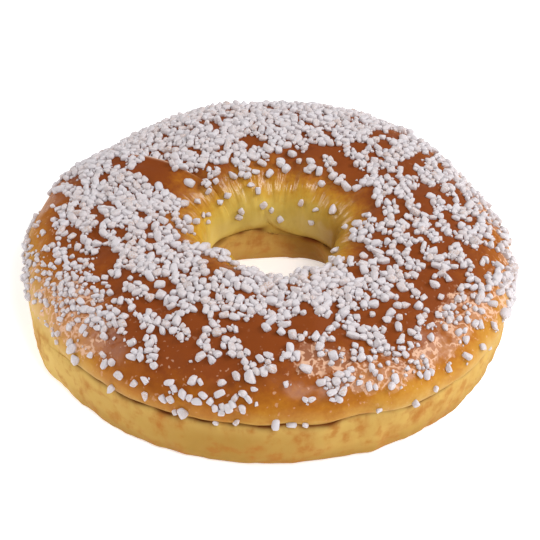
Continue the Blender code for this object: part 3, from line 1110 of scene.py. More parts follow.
        # Painted light at the seam's left end; under the lip partly paler dough, partly painted light.
        foot = nodes.mix(nodes.attribute("pale"), foot, self.foot_lightened)
        foot = nodes.mix(nodes.math("MULTIPLY", stain, self.stain_share), foot, self.stain)
        blotches = nodes.blotches(place, self.foot_blotches, 0.0, self.foot_blotch_share)
        foot = nodes.mix(blotches, foot, self.stain)
        # Painted shade on the right side of the hole, on its foot and then on its wall.
        foot = nodes.mix(nodes.attribute("hole_shade"), foot, self.hole_shade)
        dome = nodes.mix(nodes.attribute("hole_shade"), dome, self.hole_shade)
        # Painted light on the dome beside the left end of the seam.
        dome = nodes.mix(nodes.attribute("pale"), dome, self.foot_lightened)
        return nodes.mix(nodes.attribute("foot"), dome, foot)

    def dressed_colour(self, nodes: Nodes, place: Socket, film_and_sheen: Socket, colour: Socket) -> Socket:
        """Lays the dry skin of egg wash with painted highlight on its ripples, its specks, the painted
        highlight along the join's rim, the base's brown blotches and the painted shade along the seams on a
        colour.

        Args:
            nodes: The material's nodes.
            place: The place of the point.
            film_and_sheen: How thick the skin of egg wash is, with painted highlight on its ripples.
            colour: The colour of the bake.

        Returns:
            The colour with all that lies on it.
        """
        specks = nodes.math("MULTIPLY", nodes.blotches(place, self.specks), nodes.attribute("specked"))
        # Painted highlight: a thin pale line along the rim of the join.
        rim = nodes.math("MULTIPLY", nodes.attribute("rim"), self.film_share)
        # The skin is partly its own colour and partly painted highlight on its ripples.
        for share in (nodes.math("MULTIPLY", film_and_sheen, self.film_share), specks, rim):
            colour = nodes.mix(share, colour, self.film_and_sheen)
        darkened = nodes.blotches(place, self.base_blotches, self.least_base_blotch)
        darkened = nodes.math("MULTIPLY", nodes.attribute("underside"), darkened)
        colour = nodes.mix(darkened, colour, self.underside)
        # Painted shade along the seams.
        return nodes.mix(nodes.attribute("seam_shade"), colour, self.seam_shade)

    def film_flakes(self, nodes: Nodes, place: Socket) -> Socket:
        """Draws the dry skin that the egg wash leaves, ragged at its edge and rippled, its ripple lines
        painted lighter as painted highlight.

        Args:
            nodes: The material's nodes.
            place: The place of the point.

        Returns:
            How thick the skin is, from 0 where there is none to 1.
        """
        edge = nodes.math("MULTIPLY", nodes.centred(place, self.film_edge), self.film_raggedness)
        zone = nodes.ranged(nodes.math("ADD", nodes.attribute("crinkle"), edge), self.film_start)
        folds = nodes.math("ABSOLUTE", nodes.centred(place, self.film_folds))
        ripples = nodes.ranged(folds, self.fold_width, 1.0, self.between_folds)
        islands = nodes.blotches(place, self.film_islands, self.between_islands)
        return nodes.math("MULTIPLY", nodes.math("MULTIPLY", zone, islands), ripples)

    def roughness(self, nodes: Nodes, place: Socket) -> Socket:
        """Makes the crust smoother where the egg wash lies.

        Args:
            nodes: The material's nodes.
            place: The place of the point.

        Returns:
            The roughness.
        """
        uneven = nodes.math("MULTIPLY", nodes.noise(place, self.dullness), self.dullness_share)
        glaze = nodes.attribute("glaze")
        glazed = nodes.ranged(glaze, (0.0, 1.0), self.foot_roughness, self.body_roughness)
        return nodes.math("ADD", glazed, uneven)

    def skin(self, nodes: Nodes, place: Socket, unrolled: Socket, film_and_sheen: Socket) -> Socket:
        """Bumps the skin: fine pores all over, ripples in the egg wash's skin and streaks down the wall.

        Args:
            nodes: The material's nodes.
            place: The place of the point.
            unrolled: The place of the point on the unrolled surface.
            film_and_sheen: How thick the skin of egg wash is, with painted highlight on its ripples.

        Returns:
            The bumped normal.
        """
        pores = nodes.bumped(nodes.noise(place, self.pores), self.pore_relief)
        ripples = nodes.bumped(film_and_sheen, self.film_relief, pores)
        run = nodes.noise(nodes.stretched(unrolled, self.run_stretch), self.runs)
        streaks = nodes.math("MULTIPLY", run, nodes.attribute("streak"))
        return nodes.bumped(streaks, self.run_relief, ripples)


@dataclass(frozen=True)
class SugarFinish:
    """Pressed sugar: opaque, off white, a little grey where the egg wash has soaked in."""

    name: str = "pearl_sugar"
    dry: Colour = from_screen(212, 206, 209)
    damp: Colour = from_screen(200, 174, 160)
    soaking: Mottle = Mottle(0.0007, 2.0, 0.60, 0.38, 0.66)
    roughness: float = 0.55
    specular: float = 0.30
    glow: float = 0.45
    glow_radius: Triple = (1.0, 0.96, 0.92)
    glow_depth: float = 0.0012
    crystals: Mottle = Mottle(0.0005, 2.0, 0.60)
    crystal_relief: Span = (0.00012, 0.6)

    def material(self) -> bpy.types.Material:
        """Builds the sugar's material, whose tone differs from grain to grain.

        Returns:
            The material.
        """
        nodes = Nodes(self.name)
        place = nodes.place("surface_place")
        soaked = nodes.math("MULTIPLY", nodes.blotches(place, self.soaking), nodes.attribute("damp"))
        nodes.put(nodes.mix(soaked, self.dry, self.damp), nodes.shader.inputs["Base Color"])
        nodes.put(self.roughness, nodes.shader.inputs["Roughness"])
        nodes.put(self.specular, nodes.shader.inputs["Specular IOR Level"])
        nodes.put(self.glow, nodes.shader.inputs["Subsurface Weight"])
        nodes.put(self.glow_radius, nodes.shader.inputs["Subsurface Radius"])
        nodes.put(self.glow_depth, nodes.shader.inputs["Subsurface Scale"])
        crystals = nodes.bumped(nodes.noise(place, self.crystals), self.crystal_relief)
        nodes.put(crystals, nodes.shader.inputs["Normal"])
        return nodes.material


@dataclass(frozen=True)
class FloorFinish:
    """A pale, matt floor that glows a little, which keeps its shadows light."""

    colour: Colour = (0.90, 0.91, 0.93)
    roughness: float = 0.9
    specular: float = 0.0
    glow: float = 0.50

    def material(self) -> bpy.types.Material:
        """Builds the floor's material.

        Returns:
            The material.
        """
        nodes = Nodes("pale_floor")
        nodes.put((*self.colour, 1.0), nodes.shader.inputs["Base Color"])
        nodes.put(self.roughness, nodes.shader.inputs["Roughness"])
        nodes.put(self.specular, nodes.shader.inputs["Specular IOR Level"])
        nodes.put(WHITE, nodes.shader.inputs["Emission Color"])
        nodes.put(self.glow, nodes.shader.inputs["Emission Strength"])
        return nodes.material


def hold(mesh: bpy.types.Mesh, name: str, values: np.ndarray) -> None:
    """Stores a number or a place at each point of a mesh.

    Args:
        mesh: The mesh.
        name: The attribute's name.
        values: One number, or three, for each point.
    """
    if values.ndim == 1:
        layer = mesh.attributes.new(name, "FLOAT", "POINT")
        layer.data.foreach_set("value", values.astype(np.float32))
    else:
        layer = mesh.attributes.new(name, "FLOAT_VECTOR", "POINT")
        layer.data.foreach_set("vector", values.astype(np.float32).ravel())


@dataclass
class Crust:
    """The ring's crust, foot and base, as one closed mesh that stands for the solid.

    The fields say where the bake, the glaze, the darker foot, the painted light, the painted shade and the
    seams'
    painted shade change: over the section as crossings, round the ring as azimuths, and up the foot in
    metres.
    """

    surface: CrustSurface
    finish: CrustFinish = field(default_factory=CrustFinish)
    bake_shifts: Waves = (
        (250, 0.062, 24),
        (300, -0.035, 24),
        (206, -0.080, 18),
        (180, -0.060, 12),
        (336, -0.030, 18),
    )
    outside: Span = (0.50, 0.38)
    inside: Span = (0.56, 0.62)
    browned_wall: Zone = Zone(190, 26, 0.035)
    bake_unevenness: Ripple = Ripple(0.012, 0.035, 23)
    # Painted shade along the seams: on the right, on the hole's side, its unevenness, strength and width.
    right_seam_shade: Zone = Zone(312, 28, 0.75)
    inner_seam_shade: float = 0.5
    crease_unevenness: Ripple = Ripple(0.45, 0.012, 27)
    crease_strength: float = 1.8
    crease_width: float = 0.0009
    closed_seam: float = math.radians(196)
    closed_reach: Span = (math.radians(20), math.radians(27))
    foot_fade: float = 0.0035
    # How far below the seam the foot is lighter: partly paler dough, partly painted light.
    under_lip_reach: float = 0.0030
    outer_glaze: Span = (0.02, 0.14)
    inner_glaze: Span = (0.96, 0.80)
    thick_side: Span = (0.50, 0.66)
    # Darker foot in front and towards the bottom; on the hole's side, painted shade.
    front_foot_darkening: Zone = Zone(260, 22)
    shaded_foot: Zone = Zone(30, 45, 0.8)
    foot_bottom: Span = (0.014, 0.001)
    # Painted light at the seam's left end on foot and dome, and under the lip partly painted light.
    lit_stretch: Zone = Zone(203, 15)
    lit_stretch_on_foot: float = 0.85
    lit_stretch_on_dome: float = 0.50
    lit_stretch_dome_reach: Span = (0.26, 0.10)
    under_lip_lightening: float = 0.6
    # Painted shade on the right side of the hole: on the foot, on the wall and how far up it reaches.
    hole_foot_shade: Zone = Zone(53, 22, 0.80)
    hole_wall_shade: Zone = Zone(5, 40)
    hole_wall_shade_reach: Span = (0.64, 0.84)
    # Painted highlight along the rim of the join: how far past the join and where over the section.
    rim_highlight_turn: Span = (0.008, 0.010)
    rim_highlight_crossing: Span = (0.475, 0.085)
    speckling: float = 0.45
    speckled_crossing: Span = (0.24, 0.12)
    streaked_crossing: Span = (0.68, 0.11)
    base_slope: Span = (0.75, 0.98)

    def build(self) -> bpy.types.Object:
        """Builds the mesh, stores the bake in it and dresses it.

        Returns:
            The piece.
        """
        points = np.concatenate([self.surface.points, self.surface.base_rows()])
        rows, columns = points.shape[:2]
        index = np.arange(rows * columns).reshape(rows, columns)
        beside = np.roll(index, -1, axis=1)
        above, above_beside = np.roll(index, -1, axis=0), np.roll(beside, -1, axis=0)
        faces = np.stack([index, beside, above_beside, above], axis=-1).reshape(-1, 4)
        mesh = bpy.data.meshes.new("crust")
        mesh.from_pydata(points.reshape(-1, 3).tolist(), [], faces.tolist())
        mesh.shade_smooth()
        self.store_bake(mesh, points)
        mesh.materials.append(self.finish.material())
        piece = bpy.data.objects.new("crust", mesh)
        bpy.context.scene.collection.objects.link(piece)
        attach(piece, BODY)
        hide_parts(NODE)
        return piece

    def store_bake(self, mesh: bpy.types.Mesh, points: np.ndarray) -> None:
        """Stores what the crust's material reads at each point.

        Args:
            mesh: The crust's mesh.
            points: Its points, row by row.
        """
        surface = self.surface
        base = (len(points) - len(surface.points), surface.columns)
        for name, values in self.bake_values().items():
            filler = np.full(base, 1.0 if name in ("underside", "foot") else 0.0)
            hold(mesh, name, np.concatenate([values, filler]).ravel())
        hold(mesh, "surface_place", points.reshape(-1, 3))
        unrolled = surface.ring_places(surface.points)
        hold(mesh, "ring_place", np.concatenate([unrolled, points[len(surface.points) :]]).reshape(-1, 3))

    def bake(self, crossing: np.ndarray) -> np.ndarray:
        """Works out how far the crust is baked, which follows the crossing with a few shifts.

        Args:
            crossing: Where over the section.

        Returns:
            The bake, from 0 to 1.
        """
        surface, azimuth = self.surface, self.surface.azimuth
        shift = surface.form.swellings(azimuth, self.bake_shifts) * smooth_step(crossing, *self.outside)
        shift = shift - self.browned_wall.around(azimuth) * smooth_step(crossing, *self.inside)
        shift = shift + self.bake_unevenness.over(surface.points)
        return np.clip(crossing + shift, 0, 1)

    def seam_shade(self, inner: np.ndarray, gap: np.ndarray) -> np.ndarray:
        """Works out the painted shade along the line of the seams.

        Args:
            inner: Whether each point lies on the hole's side.
            gap: How far above or below the seam it lies.

        Returns:
            The strength of the painted shade, from 0 to 1.
        """
        surface, azimuth = self.surface, self.surface.azimuth
        outer_seam_shade = np.maximum(surface.form.seam_strength(azimuth), self.right_seam_shade.around(azimuth))
        strength = np.where(inner, self.inner_seam_shade, outer_seam_shade)
        uneven = 1.0 + self.crease_unevenness.over(surface.ring_places(surface.points) * (1, 1, 0))
        line = self.crease_strength * strength * uneven * np.exp(-gap / self.crease_width)
        closed = np.abs(turn_between(azimuth, self.closed_seam))
        return np.clip(line * np.where(inner, 1.0, smooth_step(closed, *self.closed_reach)), 0, 1)

    def bake_values(self) -> dict[str, np.ndarray]:
        """Works out how the crust is baked, glazed and creased at each point of the surface.

        Returns:
            The values for each attribute, one row for each station.
        """
        surface, form = self.surface, self.surface.form
        azimuth, height = surface.azimuth, surface.points[..., 2]
        crossing = np.broadcast_to(surface.crossing, height.shape)
        on_foot = np.broadcast_to(surface.on_foot, height.shape)
        inner = np.broadcast_to(surface.inner, height.shape)
        above_seam = height - np.where(inner, form.inner_seam(azimuth), form.seam_height(azimuth))
        foot = np.exp(-np.maximum(above_seam, 0) / self.foot_fade) * ~inner
        # Under the outer lip the foot is lighter: partly paler dough, partly painted light.
        under_lip = np.exp(-np.maximum(-above_seam, 0) / self.under_lip_reach) * on_foot * ~inner
        glaze = smooth_step(crossing, *self.outer_glaze) * smooth_step(crossing, *self.inner_glaze)
        glaze = np.where(on_foot, 0.0, glaze)
        thick = smooth_step(crossing, *self.thick_side)
        coat = self.finish.thin_coat + (self.finish.thick_coat - self.finish.thin_coat) * thick
        # Painted shade on the foot inside the hole; in front the foot is only darker.
        darkened = np.where(inner, self.shaded_foot.around(azimuth), self.front_foot_darkening.around(azimuth))
        low = np.maximum(smooth_step(height, *self.foot_bottom) * on_foot, darkened)
        # Painted light at the left end of the seam, on the dome and on the foot.
        lit_stretch_on_dome = self.lit_stretch_on_dome * smooth_step(crossing, *self.lit_stretch_dome_reach)
        pale = self.lit_stretch.around(azimuth) * np.where(on_foot, self.lit_stretch_on_foot, lit_stretch_on_dome)
        # Painted shade on the right side of the hole's wall.
        hole_wall_shade = self.hole_wall_shade.around(azimuth) * smooth_step(crossing, *self.hole_wall_shade_reach)
        past_join = turn_between(azimuth, form.join_line(crossing))
        return {
            "coat": glaze * coat,
            # Painted highlight along the rim of the join.
            "rim": bump(past_join, *self.rim_highlight_turn) * bump(crossing, *self.rim_highlight_crossing),
            "hole_shade": np.where(on_foot, self.hole_foot_shade.around(azimuth), hole_wall_shade) * inner,
            "low": low * (1 - under_lip),
            "pale": np.maximum(pale, self.under_lip_lightening * under_lip),
            "bake": self.bake(crossing),
            "foot": np.where(on_foot, 1.0, foot),
            "glaze": glaze,
            "crinkle": surface.crinkle_zone(),
            "specked": np.where(on_foot, 0.0, self.speckling * bump(crossing, *self.speckled_crossing)),
            "streak": np.where(inner & ~on_foot, bump(crossing, *self.streaked_crossing), 0.0),
            # Painted shade along the seams.
            "seam_shade": self.seam_shade(inner, np.abs(above_seam)),
            "underside": smooth_step(-surface.normals[..., 2], *self.base_slope) * on_foot,
        }


SOLID_PATCHES: tuple[Patch, ...] = (
    (145, 0.53, 12, 0.070, 1.00),
    (134, 0.63, 20, 0.050, 1.00),
    (50, 0.53, 24, 0.050, 1.00),
    (230, 0.565, 14, 0.028, 0.95),
    (180, 0.60, 14, 0.050, 0.50),
    (265, 0.38, 14, 0.035, 0.80),
    (203, 0.385, 11, 0.035, 0.85),
    (170, 0.23, 16, 0.060, 0.90),
    (245, 0.25, 16, 0.030, 0.80),
    (300, 0.23, 14, 0.045, 0.85),
    (320, 0.375, 12, 0.035, 0.60),
)


@dataclass(frozen=True)
class SugarRule:
    """Where the sugar lies: most along the crest, little near the seams, none in a few bare patches.

    The patches are the azimuth in degrees, the crossing, the half widths of both and how bare it is.
    A patch that is less than bare has more sugar than its surroundings. The heaps are given in the same
    way, with how much sugar they add. A step is a share of cover, the crossing where it sets in and how
    softly it does.
    """

    patches: tuple[Patch, ...] = (
        (148, 0.475, 6, 0.045, 1.00),
        (150, 0.545, 10, 0.060, 1.00),
        (151, 0.635, 11, 0.060, 1.00),
        (130, 0.665, 10, 0.040, 1.00),
        (62, 0.535, 23, 0.040, 0.85),
        (38, 0.600, 28, 0.045, 0.80),
        (130, 0.585, 12, 0.030, 0.80),
        (329, 0.585, 11, 0.032, 0.90),
        (50, 0.515, 16, 0.030, 0.50),
        (330, 0.520, 8, 0.030, 0.30),
        (70, 0.455, 9, 0.030, 0.35),
        (351, 0.290, 10, 0.080, 0.40),
        (352, 0.390, 9, 0.030, 0.35),
        (328, 0.520, 8, 0.030, 0.30),
        (248, 0.590, 9, 0.025, 0.60),
        (130, 0.600, 12, 0.030, 0.50),
        (84, 0.255, 14, 0.040, 0.30),
        (85, 0.600, 22, 0.040, 0.60),
        (231, 0.592, 14, 0.030, 0.97),
        (248, 0.585, 8, 0.025, 0.90),
        (188, 0.640, 12, 0.050, 0.70),
        (190, 0.590, 9, 0.040, 0.50),
        (268, 0.395, 13, 0.035, 0.85),
        (209, 0.400, 11, 0.035, 0.80),
        (190, 0.335, 10, 0.040, 0.50),
        (150, 0.400, 9, 0.030, 0.40),
        (172, 0.235, 13, 0.050, 0.95),
        (255, 0.270, 14, 0.030, 0.70),
        (308, 0.265, 13, 0.035, 0.75),
        (326, 0.400, 12, 0.035, 0.45),
        (150, 0.340, 20, 0.035, -0.35),
        (168, 0.590, 8, 0.035, -0.40),
        (90, 0.460, 30, 0.035, -0.25),
        (275, 0.540, 30, 0.050, -0.15),
        (350, 0.640, 10, 0.030, -0.60),
    )
    heaps: tuple[Patch, ...] = (
        (181, 0.130, 12, 0.050, 0.32),
        (203, 0.290, 14, 0.060, 0.08),
        (288, 0.260, 8, 0.030, 0.09),
        (302, 0.220, 8, 0.040, 0.08),
        (303, 0.330, 8, 0.030, 0.15),
        (170, 0.365, 12, 0.045, 0.50),
        (212, 0.455, 9, 0.030, 0.25),
        (238, 0.340, 12, 0.035, 0.16),
        (247, 0.335, 9, 0.030, 0.15),
        (240, 0.200, 14, 0.030, 0.12),
        (166, 0.470, 9, 0.045, 0.30),
        (207, 0.460, 10, 0.035, 0.25),
        (330, 0.455, 9, 0.030, 0.20),
        (348, 0.150, 14, 0.060, 0.38),
        (100, 0.660, 8, 0.030, 0.30),
        (352, 0.595, 10, 0.040, 0.50),
        (346, 0.640, 9, 0.030, 0.40),
        (328, 0.705, 9, 0.030, 0.50),
    )
    fine_zones: tuple[Patch, ...] = (
        (194, 0.180, 26, 0.100, 0.85),
        (205, 0.320, 20, 0.070, 0.40),
        (298, 0.255, 13, 0.070, 0.36),
        (322, 0.300, 9, 0.060, 0.30),
    )
    fineness: float = 0.24
    sharpness: int = 4
    front_steps: tuple[Triple, ...] = (
        (0.03, 0.09, 0.012),
        (0.08, 0.22, 0.020),
        (0.20, 0.285, 0.015),
        (0.42, 0.425, 0.012),
    )
    back_steps: tuple[Triple, ...] = ((0.30, 0.09, 0.02), (0.48, 0.20, 0.03))
    front_azimuth: float = math.radians(245)
    front_softness: float = 0.06
    last_crossing: float = 0.68
    last_softness: float = 0.012
    short_right: Zone = Zone(25, 50, 0.13)
    short_back: Zone = Zone(100, 35, 0.05)
    thin_right: float = 0.30
    loose: float = 0.02
    last_loose: float = 0.92
    clumps: Ripple = Ripple(0.5, 0.015, 31)
    small_clumps: Ripple = Ripple(0.8, 0.0075, 32)
    thinness: float = 0.93
    contrast: float = 1.3
    least_share: float = 0.005
    most_share: float = 0.985
    clump_spread: float = 0.6
    clump_softness: float = 0.12
    fine_density: float = 0.32

    @staticmethod
    def soft_step(value: np.ndarray, edge: float | np.ndarray, softness: float) -> np.ndarray:
        """Rises from 0 below an edge to 1 above it.

        Args:
            value: The values to place.
            edge: Where the step is.
            softness: How wide the step is.

        Returns:
            The height of the step.
        """
        return 1 / (1 + np.exp(np.clip((edge - value) / softness, -STEEPEST, STEEPEST)))

    def coverage(self, azimuth: np.ndarray, crossing: np.ndarray) -> np.ndarray:
        """Says how much of the crust the sugar covers.

        Args:
            azimuth: Where round the ring, in radians.
            crossing: Where over the section.

        Returns:
            The share that is covered, from 0 to 1.
        """
        step = self.soft_step
        front = sum(share * step(crossing, at, soft) for share, at, soft in self.front_steps)
        back = sum(share * step(crossing, at, soft) for share, at, soft in self.back_steps)
        behind = step(-np.cos(azimuth - self.front_azimuth), 0.0, self.front_softness)
        edge = self.last_crossing - self.short_right.around(azimuth) - self.short_back.around(azimuth)
        thinned = 1 - self.thin_right * np.maximum(np.cos(azimuth), 0) ** 2
        covered = (front * (1 - behind) + back * behind) * thinned
        covered = covered * (1 - step(crossing, edge, self.last_softness))
        for patch in self.patches:
            covered = covered * (1 - patch_share(azimuth, crossing, patch, self.sharpness))
        for heap in self.heaps:
            covered = covered + patch_share(azimuth, crossing, heap)
        return covered + self.loose * (crossing < self.last_loose)

    def fine_share(self, azimuth: np.ndarray, crossing: np.ndarray) -> np.ndarray:
        """Says where the sugar is finer and lies more evenly.

        Args:
            azimuth: Where round the ring, in radians.
            crossing: Where over the section.

        Returns:
            The share, from 0 for coarse clumps to 1.
        """
        total = np.zeros(np.broadcast(azimuth, crossing).shape)
        for zone in self.fine_zones:
            total = np.maximum(total, patch_share(azimuth, crossing, zone))
        return total

    def clumped(self, points: np.ndarray, covered: np.ndarray, fine: np.ndarray) -> np.ndarray:
        """Gathers the sugar in clumps with bare crust between them.

        Args:
            points: The places on the crust.
            covered: The share of the crust that is covered there.
            fine: Where the sugar lies more evenly.

        Returns:
            How likely a grain is to stay at each place.
        """
        noise = self.clumps.over(points) + self.small_clumps.over(points)
        share = self.thinness * np.clip(covered, 0, 1) ** self.contrast
        share = np.clip(share, self.least_share, self.most_share)
        threshold = self.clump_spread * np.log(share / (1 - share))
        clumped = self.soft_step(threshold, noise, self.clump_softness)
        return clumped * (1 - fine) + self.fine_density * covered * fine


@dataclass(frozen=True)
class PearlRule:
    """Where the solid's own pearls sit, drawn in the same order as the solid draws them."""

    count: int = 155
    largest: float = 0.0026
    smallest: float = 0.0020
    gap: float = 0.0006
    spacing: float = 2.5
    crossings: Span = (0.08, 0.92)
    seed: int = 32
    tries: int = 40000
    middle_radius: float = 0.0705
    half_width: float = 0.0430
    half_height: float = 0.0265
    rule: SugarRule = field(default_factory=lambda: SugarRule(SOLID_PATCHES, (), sharpness=2))

    def even_place(self, azimuth: float, crossing: float) -> Vector:
        """Finds a pearl's place on an even ring, which keeps the pearls apart.

        Args:
            azimuth: Where round the ring, in radians.
            crossing: Where over the section.

        Returns:
            The place, in metres.
        """
        turn = crossing * math.pi
        radius = self.middle_radius + self.half_width * math.cos(turn)
        height = self.half_height * math.sin(turn)
        return Vector((radius * math.cos(azimuth), radius * math.sin(azimuth), height))

    def seats(self) -> list[Triple]:
        """Draws the pearls, largest first.

        Each place takes one draw that isn't used here, where the solid draws how far a pearl is spun.

        Returns:
            The azimuth, the crossing and the radius of each.
        """
        draw = random.Random(self.seed)
        seats: list[Triple] = []
        places: list[Vector] = []
        for _ in range(self.tries):
            if len(seats) == self.count:
                break
            azimuth = draw.uniform(0, 2 * math.pi)
            crossing = draw.uniform(*self.crossings)
            radius = self.largest - (self.largest - self.smallest) * len(seats) / self.count
            draw.uniform(0, 2 * math.pi)
            if draw.random() > self.rule.coverage(azimuth, crossing):
                continue
            place = self.even_place(azimuth, crossing)
            if all((place - other).length > self.spacing * radius + self.gap for other in places):
                seats.append((azimuth, crossing, radius))
                places.append(place)
        return seats


@dataclass(frozen=True)
class SugarKind:
    """One kind of grain: its name, the most grains, their radii in metres, their shape and how they lie.

    The tries are how many places are drawn for them, and the spacing is the least distance between two
    grains as a share of their radii. Fewer grains lie there where no more places are free.
    """

    name: str
    count: int
    largest: float
    smallest: float
    shape: GrainShape
    tries: int
    spacing: float


@dataclass
class SugarStrewing:
    """The grains that lie on the crust, laid one kind after another, largest first.

    How deep a grain is sunk, how high it is lifted and how long its sides are is given in its radii.
    """

    surface: CrustSurface
    finish: SugarFinish = field(default_factory=SugarFinish)
    rule: SugarRule = field(default_factory=SugarRule)
    pearls: PearlRule = field(default_factory=PearlRule)
    cell: float = 0.0055
    sunk: float = 0.30
    variants: int = 40
    cube: float = 1.7
    flat_depths: Span = (0.70, 0.98)
    weld: float = 0.10
    sharp_edge: float = math.radians(62)
    tip: float = 0.35
    least_sides: Triple = (0.96, 0.80, 0.70)
    most_sides: Triple = (1.46, 1.02, 0.95)
    lifts: Span = (0.7, 1.1)
    dampness: Span = (0.22, 0.22)
    soaked_share: float = 0.08
    soaked_dampness: float = 0.7
    seed: int = 41
    variant_seeds: int = 100

    def __post_init__(self) -> None:
        """Starts with a bare crust."""
        self.taken: dict[tuple[int, int, int], list[tuple[float, float, float, float]]] = {}
        self.draw = np.random.default_rng(self.seed)

    def cell_of(self, place: np.ndarray) -> tuple[int, int, int]:
        """Names the cell of space that a place is in."""
        return tuple(int(value) for value in np.floor(place / self.cell))

    def take(self, place: np.ndarray, radius: float) -> None:
        """Notes that a grain lies at a place."""
        self.taken.setdefault(self.cell_of(place), []).append((*place, radius))

    def is_free(self, place: np.ndarray, radius: float, spacing: float) -> bool:
        """Says whether a grain fits between those that already lie there.

        Args:
            place: The grain's place.
            radius: The grain's radius.
            spacing: The least distance to another grain, as a share of the two radii.

        Returns:
            Whether it fits.
        """
        x, y, z = self.cell_of(place)
        for across, deep, high in itertools.product((-1, 0, 1), repeat=3):
            for *other, reach in self.taken.get((x + across, y + deep, z + high), ()):
                apart = (place[0] - other[0]) ** 2 + (place[1] - other[1]) ** 2 + (place[2] - other[2]) ** 2
                if apart < ((radius + reach) * spacing) ** 2:
                    return False
        return True

    def seat(self, seats: list[Triple]) -> tuple[np.ndarray, np.ndarray, np.ndarray]:
        """Finds given seats on the fine crust and notes that they are taken.

        Args:
            seats: The azimuth, the crossing and the radius of each grain.

        Returns:
            The places, the outward directions and the radii.
        """
        surface = self.surface
        rows = np.flatnonzero(~surface.on_foot[:, 0])
        stations = surface.crossing[rows, 0]
        places, normals, radii = [], [], []
        for azimuth, crossing, radius in seats:
            row = rows[np.abs(stations - crossing).argmin()]
            column = int(np.abs(turn_between(surface.azimuth[row], azimuth)).argmin())
            places.append(surface.points[row, column])
            normals.append(surface.normals[row, column])
            radii.append(radius)
            self.take(places[-1], radius)
        return np.array(places), np.array(normals), np.array(radii)

    def candidates(self, kind: SugarKind) -> tuple[np.ndarray, np.ndarray, np.ndarray]:
        """Draws places on the crust, more of them where the sugar lies thickly.

        Args:
            kind: The kind of grain to place.

        Returns:
            The places, the outward directions and how fine the sugar is there.
        """
        surface = self.surface
        points, normals = surface.points, surface.normals
        shape = points.shape[:2]
        azimuth = surface.azimuth
        crossing = np.broadcast_to(surface.crossing, shape)
        rows = np.linalg.norm(np.gradient(points, axis=0), axis=-1)
        columns = np.linalg.norm(np.roll(points, -1, axis=1) - points, axis=-1)
        fine = self.rule.fine_share(azimuth, crossing)
        stay = self.rule.clumped(points, self.rule.coverage(azimuth, crossing), fine)
        weight = rows * columns * stay * ~surface.on_foot
        total = np.cumsum(weight.ravel())
        picked = np.searchsorted(total, self.draw.uniform(0, total[-1], kind.tries))
        row, column = np.unravel_index(np.minimum(picked, weight.size - 1), shape)
        shift = self.draw.uniform(0, 1, (kind.tries, 1))
        beside = points[row, (column + 1) % surface.columns]
        return points[row, column] * (1 - shift) + beside * shift, normals[row, column], fine[row, column]

    def lay(self, kind: SugarKind) -> tuple[np.ndarray, np.ndarray, np.ndarray]:
        """Finds free places for a kind of grain.

        Args:
            kind: The kind of grain.

        Returns:
            The places, the outward directions and the radii.
        """
        places, normals, fine = self.candidates(kind)
        kept: list[tuple[int, float]] = []
        for index, place in enumerate(places):
            if len(kept) == kind.count:
                break
            radius = kind.largest - (kind.largest - kind.smallest) * len(kept) / kind.count
            radius *= 1 - self.rule.fineness * fine[index]
            if self.is_free(place, radius, kind.spacing):
                kept.append((index, radius))
                self.take(place, radius)
        chosen = np.array([index for index, _ in kept])
        return places[chosen], normals[chosen], np.array([radius for _, radius in kept])

    def broken_block(self, shape: GrainShape, draw: random.Random) -> list[list[Vector]]:
        """Breaks flats off a cube.

        Args:
            shape: How many flats are broken off.
            draw: Gives the directions of the flats.

        Returns:
            The corners of each flat of the block.
        """
        work = bmesh.new()
        bmesh.ops.create_cube(work, size=self.cube)
        for _ in range(shape.flats):
            outward = Vector([draw.gauss(0, 1) for _ in range(3)]).normalized()
            middle = outward * draw.uniform(*self.flat_depths)
            whole = work.verts[:] + work.edges[:] + work.faces[:]
            cut = bmesh.ops.bisect_plane(
                work, geom=whole, plane_co=middle, plane_no=outward, clear_outer=True
            )
            rim = [each for each in cut["geom_cut"] if isinstance(each, bmesh.types.BMEdge)]
            if len(rim) > 2:
                bmesh.ops.contextual_create(work, geom=rim)
        flats = [[vertex.co.copy() for vertex in face.verts] for face in work.faces]
        work.free()
        return flats

    def grain(self, shape: GrainShape, seed: int) -> tuple[np.ndarray, np.ndarray]:
        """Makes one broken and worn grain, about 1 in radius.

        Args:
            shape: How it is broken and worn.
            seed: Chooses the grain.

        Returns:
            Its points and its triangles.
        """
        work = bmesh.new()
        for flat in self.broken_block(shape, random.Random(seed)):
            middle = sum(flat, Vector()) / len(flat)
            for corner in flat:
                work.verts.new(corner.lerp(middle, shape.wear))
        bmesh.ops.remove_doubles(work, verts=work.verts[:], dist=self.weld)
        hull = bmesh.ops.convex_hull(work, input=work.verts[:])
        spare = hull["geom_interior"] + hull["geom_unused"]
        inside = {each for each in spare if isinstance(each, bmesh.types.BMVert)}
        bmesh.ops.delete(work, geom=list(inside), context="VERTS")
        work.verts.index_update()
        points = np.array([tuple(vertex.co) for vertex in work.verts])
        triangles = np.array([[vertex.index for vertex in face.verts] for face in work.faces])
        work.free()
        return points / np.linalg.norm(points, axis=1).mean(), triangles

    def turns(self, normals: np.ndarray) -> np.ndarray:
        """Makes a turn for each grain: its short side outward, spun and tipped a little.

        Args:
            normals: The outward directions.

        Returns:
            One rotation matrix for each grain, its columns the grain's own axes.
        """
        count = len(normals)
        tipped = normals + self.tip * self.draw.normal(size=(count, 3))
        tipped /= np.linalg.norm(tipped, axis=1, keepdims=True)
        guess = self.draw.normal(size=(count, 3))
        first = np.cross(tipped, guess)
        first /= np.linalg.norm(first, axis=1, keepdims=True)
        return np.stack([first, np.cross(tipped, first), tipped], axis=-1)

    def build_pearls(self) -> bpy.types.Object:
        """Lays the solid's own pearls and joins them into one piece."""
        return self.build_piece("sugar_pearls", GrainShape.BLOCK, *self.seat(self.pearls.seats()))

